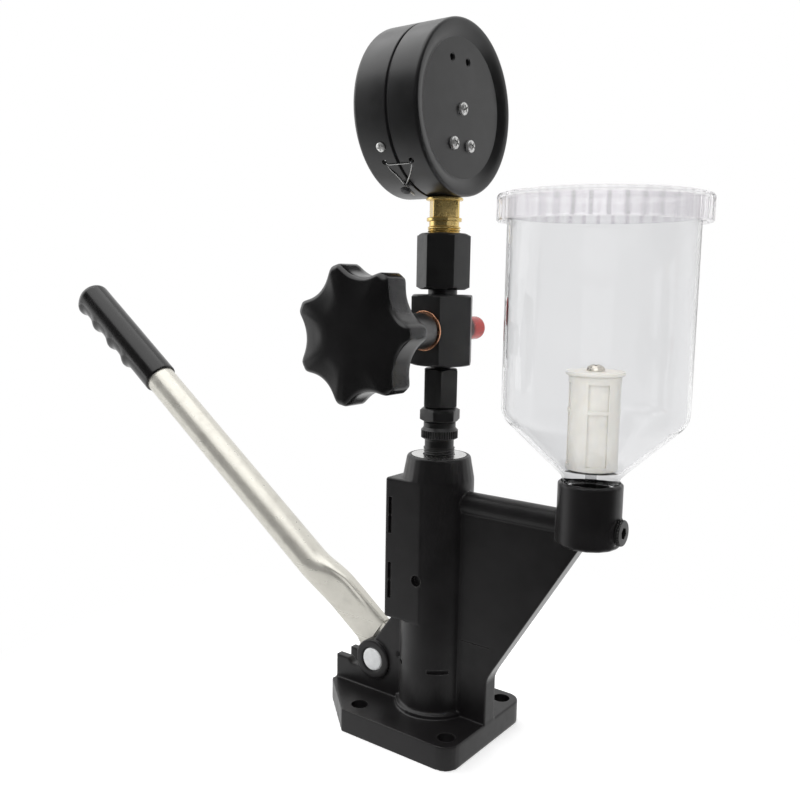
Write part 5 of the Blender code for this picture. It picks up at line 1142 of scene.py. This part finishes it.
def make_dial():
    """The dial with its scale and numbers, and the pointer."""
    place = GAUGE_AXIS @ TO_RIGHT
    dress("gauge_dial", lathe(band(DIAL_RADIUS, 1.5, -18.0, -17.0, 0.2), place, 128), "dial")
    marks = []
    for index in range(DIAL_DIVISIONS + 1):
        major = index % 10 == 0
        middle = index % 5 == 0
        length = 7.0 if major else 5.0 if middle else 3.2
        half = 0.45 if major else 0.3 if middle else 0.18
        at = dial_place(DIAL_START + DIAL_SWEEP * index / DIAL_DIVISIONS, SCALE_RADIUS)
        marks.append(block((-half, -length, 0.0), (half, 0.0, INK_HEIGHT), at))
    section = [(SCALE_RADIUS, 0.0), (SCALE_RADIUS + 0.5, 0.0), (SCALE_RADIUS + 0.5, INK_HEIGHT),
               (SCALE_RADIUS, INK_HEIGHT)]
    steps = 96
    turns = [DIAL_START + DIAL_SWEEP * index / steps for index in range(steps + 1)]
    marks.append(swept([[dial_place(turn, *corner).translation for corner in section] for turn in turns]))
    for index in range(7):
        curve = bpy.data.curves.new("number", "FONT")
        curve.body = str(index * 10)
        curve.size = 7.5
        curve.extrude = INK_HEIGHT / 2.0
        curve.align_x = "CENTER"
        curve.align_y = "CENTER"
        spot = dial_place(DIAL_START + DIAL_SWEEP * index / 6.0, 29.5).translation
        upright = dial_place(pi / 2.0, 0.0)
        upright.translation = Vector((spot.x - INK_HEIGHT / 2.0, spot.y, spot.z))
        mesh = evaluated(added("number", curve))
        mesh.transform(upright)
        marks.append(mesh)
    dress("gauge_dial", merged(*marks), "ink", name="dial_scale", replace=False)

    aim = dial_place(DIAL_START, 0.0, 2.6)
    blade = extruded([(1.7, -12.0), (1.7, 8.0), (0.8, 26.0), (0.15, 36.9), (-0.15, 36.9), (-0.8, 26.0),
                      (-1.7, 8.0), (-1.7, -12.0)], -0.4, 0.4, aim)
    hub = softened([(0.0, -6.3), (1.2, -6.3), (1.2, -8.6), (3.0, -8.6), (3.0, -11.1), (1.2, -11.1),
                    (1.2, -19.8), (4.0, -19.8), (4.0, -21.8), (0.0, -21.8)], 0.3)
    dress("gauge_pointer", smooth(merged(blade, lathe(hub, place, 40))), "pointer")


# Fuel cup

def make_cup():
    """The clear cup: a straight wall, a rounded shoulder, a cone and the neck in the collar."""
    foot, rim = heights("fuel_cup")
    outside = softened([(51.0, rim - 1.0), (51.0, 216.0), (48.6, 211.0), (19.0, 183.2)], 5.0, 6)
    neck = softened([(19.0, 183.2), (16.6, 180.6), (15.8, 178.4), (15.8, 175.0), (10.2, 175.0),
                     (10.2, 171.2), (7.5, 171.2), (7.5, 168.0), (10.2, 168.0), (10.2, foot), (3.0, foot),
                     (3.0, 184.9), (16.8, 184.9)], 1.0, 3)
    inside = softened([(16.8, 184.9), (46.9, 212.0), (49.0, 216.4), (49.0, rim - 0.6)], 5.0, 6)
    lip = [(49.4, rim), (50.5, rim)]
    profile = outside + neck[1:] + inside[1:] + lip
    dress("fuel_cup", smooth(lathe(profile, CUP_AXIS, 144), 40.0), "clear").visible_shadow = False

    skirt, top = heights("cup_lid")
    plate = top - 3.5
    under = plate - 2.6

    def ribbed(angle, radius, height):
        if radius < 55.0 or height > plate - 1.6 or height < skirt + 0.6:
            return radius
        wave = cos(angle * LID_RIBS)
        return radius - 0.3 * (1.0 - tanh(5.0 * (wave - 0.75)))

    points = ([(0.0, top), (20.8, top), (22.0, top - 0.9), (22.6, plate + 0.4), (23.4, plate),
               (54.9, plate), (56.2, plate - 0.4), (56.9, plate - 1.5), (56.9, plate - 2.0),
               (56.9, skirt + 1.0), (56.9, skirt + 0.5), (56.4, skirt), (55.0, skirt),
               (54.6, skirt + 0.4), (54.6, under), (53.1, under), (53.1, skirt + 0.3), (52.7, skirt),
               (51.6, skirt), (51.3, skirt + 0.3), (51.3, under), (0.0, under)])
    dress("cup_lid", smooth(lathe(points, CUP_AXIS, LID_RIBS * 12, shape=ribbed)),
          "lid").visible_shadow = False


def make_filter():
    """The ivory filter post with its windows and screen, and its screw."""
    foot, top = heights("filter_post")
    points = softened([(2.3, top), (16.2, top), (16.2, top - 2.0), (14.4, top - 2.6), (14.4, foot),
                       (12.4, foot), (12.4, top - 4.0), (2.3, top - 4.0)], 0.5, ring=True)
    post = lathe(points, CUP_AXIS, 72)
    windows = []
    for sill, lintel in ((3.0, 31.5), (33.5, 47.5)):
        for index in range(2):
            turn = Matrix.Rotation(pi * index / 2.0 + radians(34.0), 4, "Z")
            windows.append(block((-5.5, -18.0, foot + sill), (5.5, 18.0, foot + lintel), CUP_AXIS @ turn))
    screen = lathe([(13.3, top - 4.5), (13.3, foot + 1.0), (12.9, foot + 1.0), (12.9, top - 4.5)],
                   CUP_AXIS, 72)
    dress("filter_post", smooth(merged(cut(post, *windows), screen)), "ivory")
    head = Matrix.Translation((CUP_X, 0.0, top + 0.1)) @ Matrix.Rotation(0.4, 4, "Z")
    dress("filter_screw", cross_head(4.9, 3.4, -5.7, 2.0, head, 0.7), "filter_screw")


def make_plug():
    """The collar's plug with its hexagon socket, and its washer."""
    low, high = box("collar_plug")
    place = Matrix.Translation((0.0, 0.0, centre_of("collar_plug").z)) @ TO_RIGHT
    head = high.x - 1.4
    points = softened([(0.0, high.x), (7.0, high.x), (7.4, high.x - 0.5), (7.4, head), (4.7, head),
                       (4.7, low.x), (0.0, low.x)], 0.25)
    knurls = 30

    def grip(angle, radius, height):
        if radius > 7.2:
            return radius - 0.3 * abs((angle * knurls / FULL_TURN) % 1.0 * 2.0 - 1.0)
        return radius

    side = 6.0 / sqrt(3.0)
    socket = extruded([(side * cos(turn), side * sin(turn)) for turn in round_angles(6, 0.2)],
                      high.x - 2.0, high.x + 2.0, place)
    dress("collar_plug", smooth(cut(lathe(points, place, 120, shape=grip), socket)), "oxide")
    low, high = box("plug_washer")
    dress("plug_washer", lathe(band(7.4, 5.0, low.x, high.x, 0.3), place, 64), "rubber")


def make_springs():
    """The two coil springs under the tappet and the valve, kept at their CAD shape."""
    for node, joint, anchor, keep in (("plunger_spring", "tappet_slide", 0.1117, 0.805),
                                      ("delivery_valve_spring", "delivery_valve_slide", 0.1892, 0.87)):
        made = dress(node, smooth(node_mesh(node), 60.0), "steel")
        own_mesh(made)


# Camera, light and floor

FLOOR_GLOW = 0.50
CAMERA_PLACE = (0.30426, -0.44937, 0.28703)
CAMERA_YAW, CAMERA_PITCH, CAMERA_ROLL = (radians(value) for value in (36.74, 7.76, 0.94))
CAMERA_SIDE = (0.598, -0.801, 0.0)
WHITE = (1.0, 1.0, 1.0, 1.0)


def make_camera():
    """The camera at the photograph's viewpoint."""
    data = bpy.data.cameras.new("camera")
    data.lens = 39.6
    data.sensor_width = 36.0
    data.clip_start = 0.01
    data.clip_end = 50.0
    made = added("camera", data)
    level = cos(CAMERA_PITCH)
    back = Vector((sin(CAMERA_YAW) * level, -cos(CAMERA_YAW) * level, sin(CAMERA_PITCH)))
    right = Vector((cos(CAMERA_YAW), sin(CAMERA_YAW), 0.0))
    up = back.cross(right)
    across = right * cos(CAMERA_ROLL) + up * sin(CAMERA_ROLL)
    rise = up * cos(CAMERA_ROLL) - right * sin(CAMERA_ROLL)
    turn = Matrix((across, rise, back)).transposed().to_4x4()
    made.matrix_world = Matrix.Translation(CAMERA_PLACE) @ turn
    bpy.context.scene.camera = made


def make_lamp(name, place, size, power, mirrored=True):
    """A soft box that looks at the middle of the object."""
    data = bpy.data.lights.new(name, "AREA")
    data.shape = "RECTANGLE"
    data.size, data.size_y = size
    data.energy = power
    made = added(name, data)
    made.location = place
    made.visible_camera = False
    made.visible_glossy = mirrored
    made.rotation_euler = (Vector((0.0, 0.0, 0.2)) - Vector(place)).to_track_quat("-Z", "Y").to_euler()


def ray(tree, kind):
    """1 for rays of a kind."""
    return add_node(tree, "LightPath", {}).outputs["Is %s Ray" % kind]


def math_node(tree, operation, one, other, clamped=False):
    """The result of a sum with two values."""
    return add_node(tree, "Math", {0: one, 1: other}, operation=operation,
                    use_clamp=clamped).outputs["Value"]


def mixed(tree, factor, first, second):
    """One shader changing into another."""
    return add_node(tree, "MixShader", {0: factor, 1: first, 2: second}).outputs["Shader"]


def white_rays(tree):
    """1 for rays that should find white: straight from the eye and through clear plastic."""
    return math_node(tree, "MAXIMUM", ray(tree, "Camera"), ray(tree, "Transmission"))


def ahead(tree, place, start, end, low, high):
    """A smooth step of how far a place lies towards the camera."""
    dot = add_node(tree, "VectorMath", {0: place, 1: CAMERA_SIDE}, operation="DOT_PRODUCT")
    return ramp(tree, dot.outputs["Value"], start, end, low, high, "SMOOTHSTEP")


def make_world():
    """A white tent round the object, dark on the camera's side, and white to the eye."""
    world = bpy.data.worlds.new("studio")
    bpy.context.scene.world = world
    world.use_nodes = True
    tree = world.node_tree
    tree.nodes.clear()
    place = add_node(tree, "TexCoord", {}).outputs["Generated"]
    height = add_node(tree, "SeparateXYZ", {"Vector": place}).outputs["Z"]
    overhead = ramp(tree, height, 0.50, 0.95, 0.0, 0.75, "SMOOTHSTEP")
    tent = math_node(tree, "MAXIMUM", ahead(tree, place, -0.30, 0.14, 0.95, 0.03), overhead)
    room, seen = (add_node(tree, "Background", {"Color": colour}).outputs["Background"]
                  for colour in (tent, WHITE))
    add_node(tree, "OutputWorld", {"Surface": mixed(tree, white_rays(tree), room, seen)})


def make_floor():
    """A pale floor that keeps the shadow and goes to white away from the base."""
    work = bmesh.new()
    bmesh.ops.create_circle(work, cap_ends=True, segments=96, radius=4.0)
    mesh = closed(work)
    made = added("floor", mesh)
    made.location = (0.0, 0.0, -0.1 * MM)
    material = bpy.data.materials.new("floor_white")
    material.use_nodes = True
    tree = material.node_tree
    shader = tree.nodes["Principled BSDF"]
    shader.inputs["Base Color"].default_value = (0.82, 0.82, 0.82, 1.0)
    shader.inputs["Roughness"].default_value = 0.9
    shader.inputs["Specular IOR Level"].default_value = 0.0
    shader.inputs["Emission Color"].default_value = WHITE
    white = white_rays(tree)
    tree.links.new(ramp(tree, white, 0.0, 1.0, 0.0, FLOOR_GLOW, "SMOOTHSTEP"),
                   shader.inputs["Emission Strength"])
    place = add_node(tree, "TexCoord", {}).outputs["Object"]
    reach = add_node(tree, "VectorMath", {0: place}, operation="LENGTH").outputs["Value"]
    away = math_node(tree, "MULTIPLY", ramp(tree, reach, 0.12, 0.34, 0.0, 1.0, "SMOOTHSTEP"), white)
    glow = add_node(tree, "Emission", {}).outputs["Emission"]
    direct = mixed(tree, away, shader.outputs["BSDF"], glow)
    strength = ahead(tree, place, -0.05, 0.25, 0.95, 0.05)
    mirrored = add_node(tree, "Emission", {"Strength": strength}).outputs["Emission"]
    bounced = math_node(tree, "SUBTRACT", ray(tree, "Glossy"), ray(tree, "Transmission"), True)
    tree.links.new(mixed(tree, bounced, direct, mirrored),
                   tree.nodes["Material Output"].inputs["Surface"])
    mesh.materials.append(material)


def make_stage():
    """Camera, soft boxes, world and floor."""
    make_camera()
    make_lamp("top_box", (-0.35, -0.25, 1.5), (1.8, 1.6), 10.2)
    make_lamp("front_fill", (0.7, -1.3, 0.8), (1.2, 1.2), 7.5, mirrored=False)
    make_lamp("left_box", (-1.4, -0.5, 0.7), (1.0, 1.4), 4.8)
    make_world()
    make_floor()
    bpy.context.scene.view_settings.view_transform = "Standard"


make_stage()
for finish_name, node_names in KEPT.items():
    for node_name in node_names:
        NODES[node_name].data.materials.clear()
        NODES[node_name].data.materials.append(FINISHES[finish_name][0].material)
make_casting()
make_stack()
make_lever()
make_grip()
make_pivot()
make_knob()
make_valve()
make_socket()
make_case()
make_gauge_trim()
make_dial()
make_cup()
make_filter()
make_plug()
make_springs()
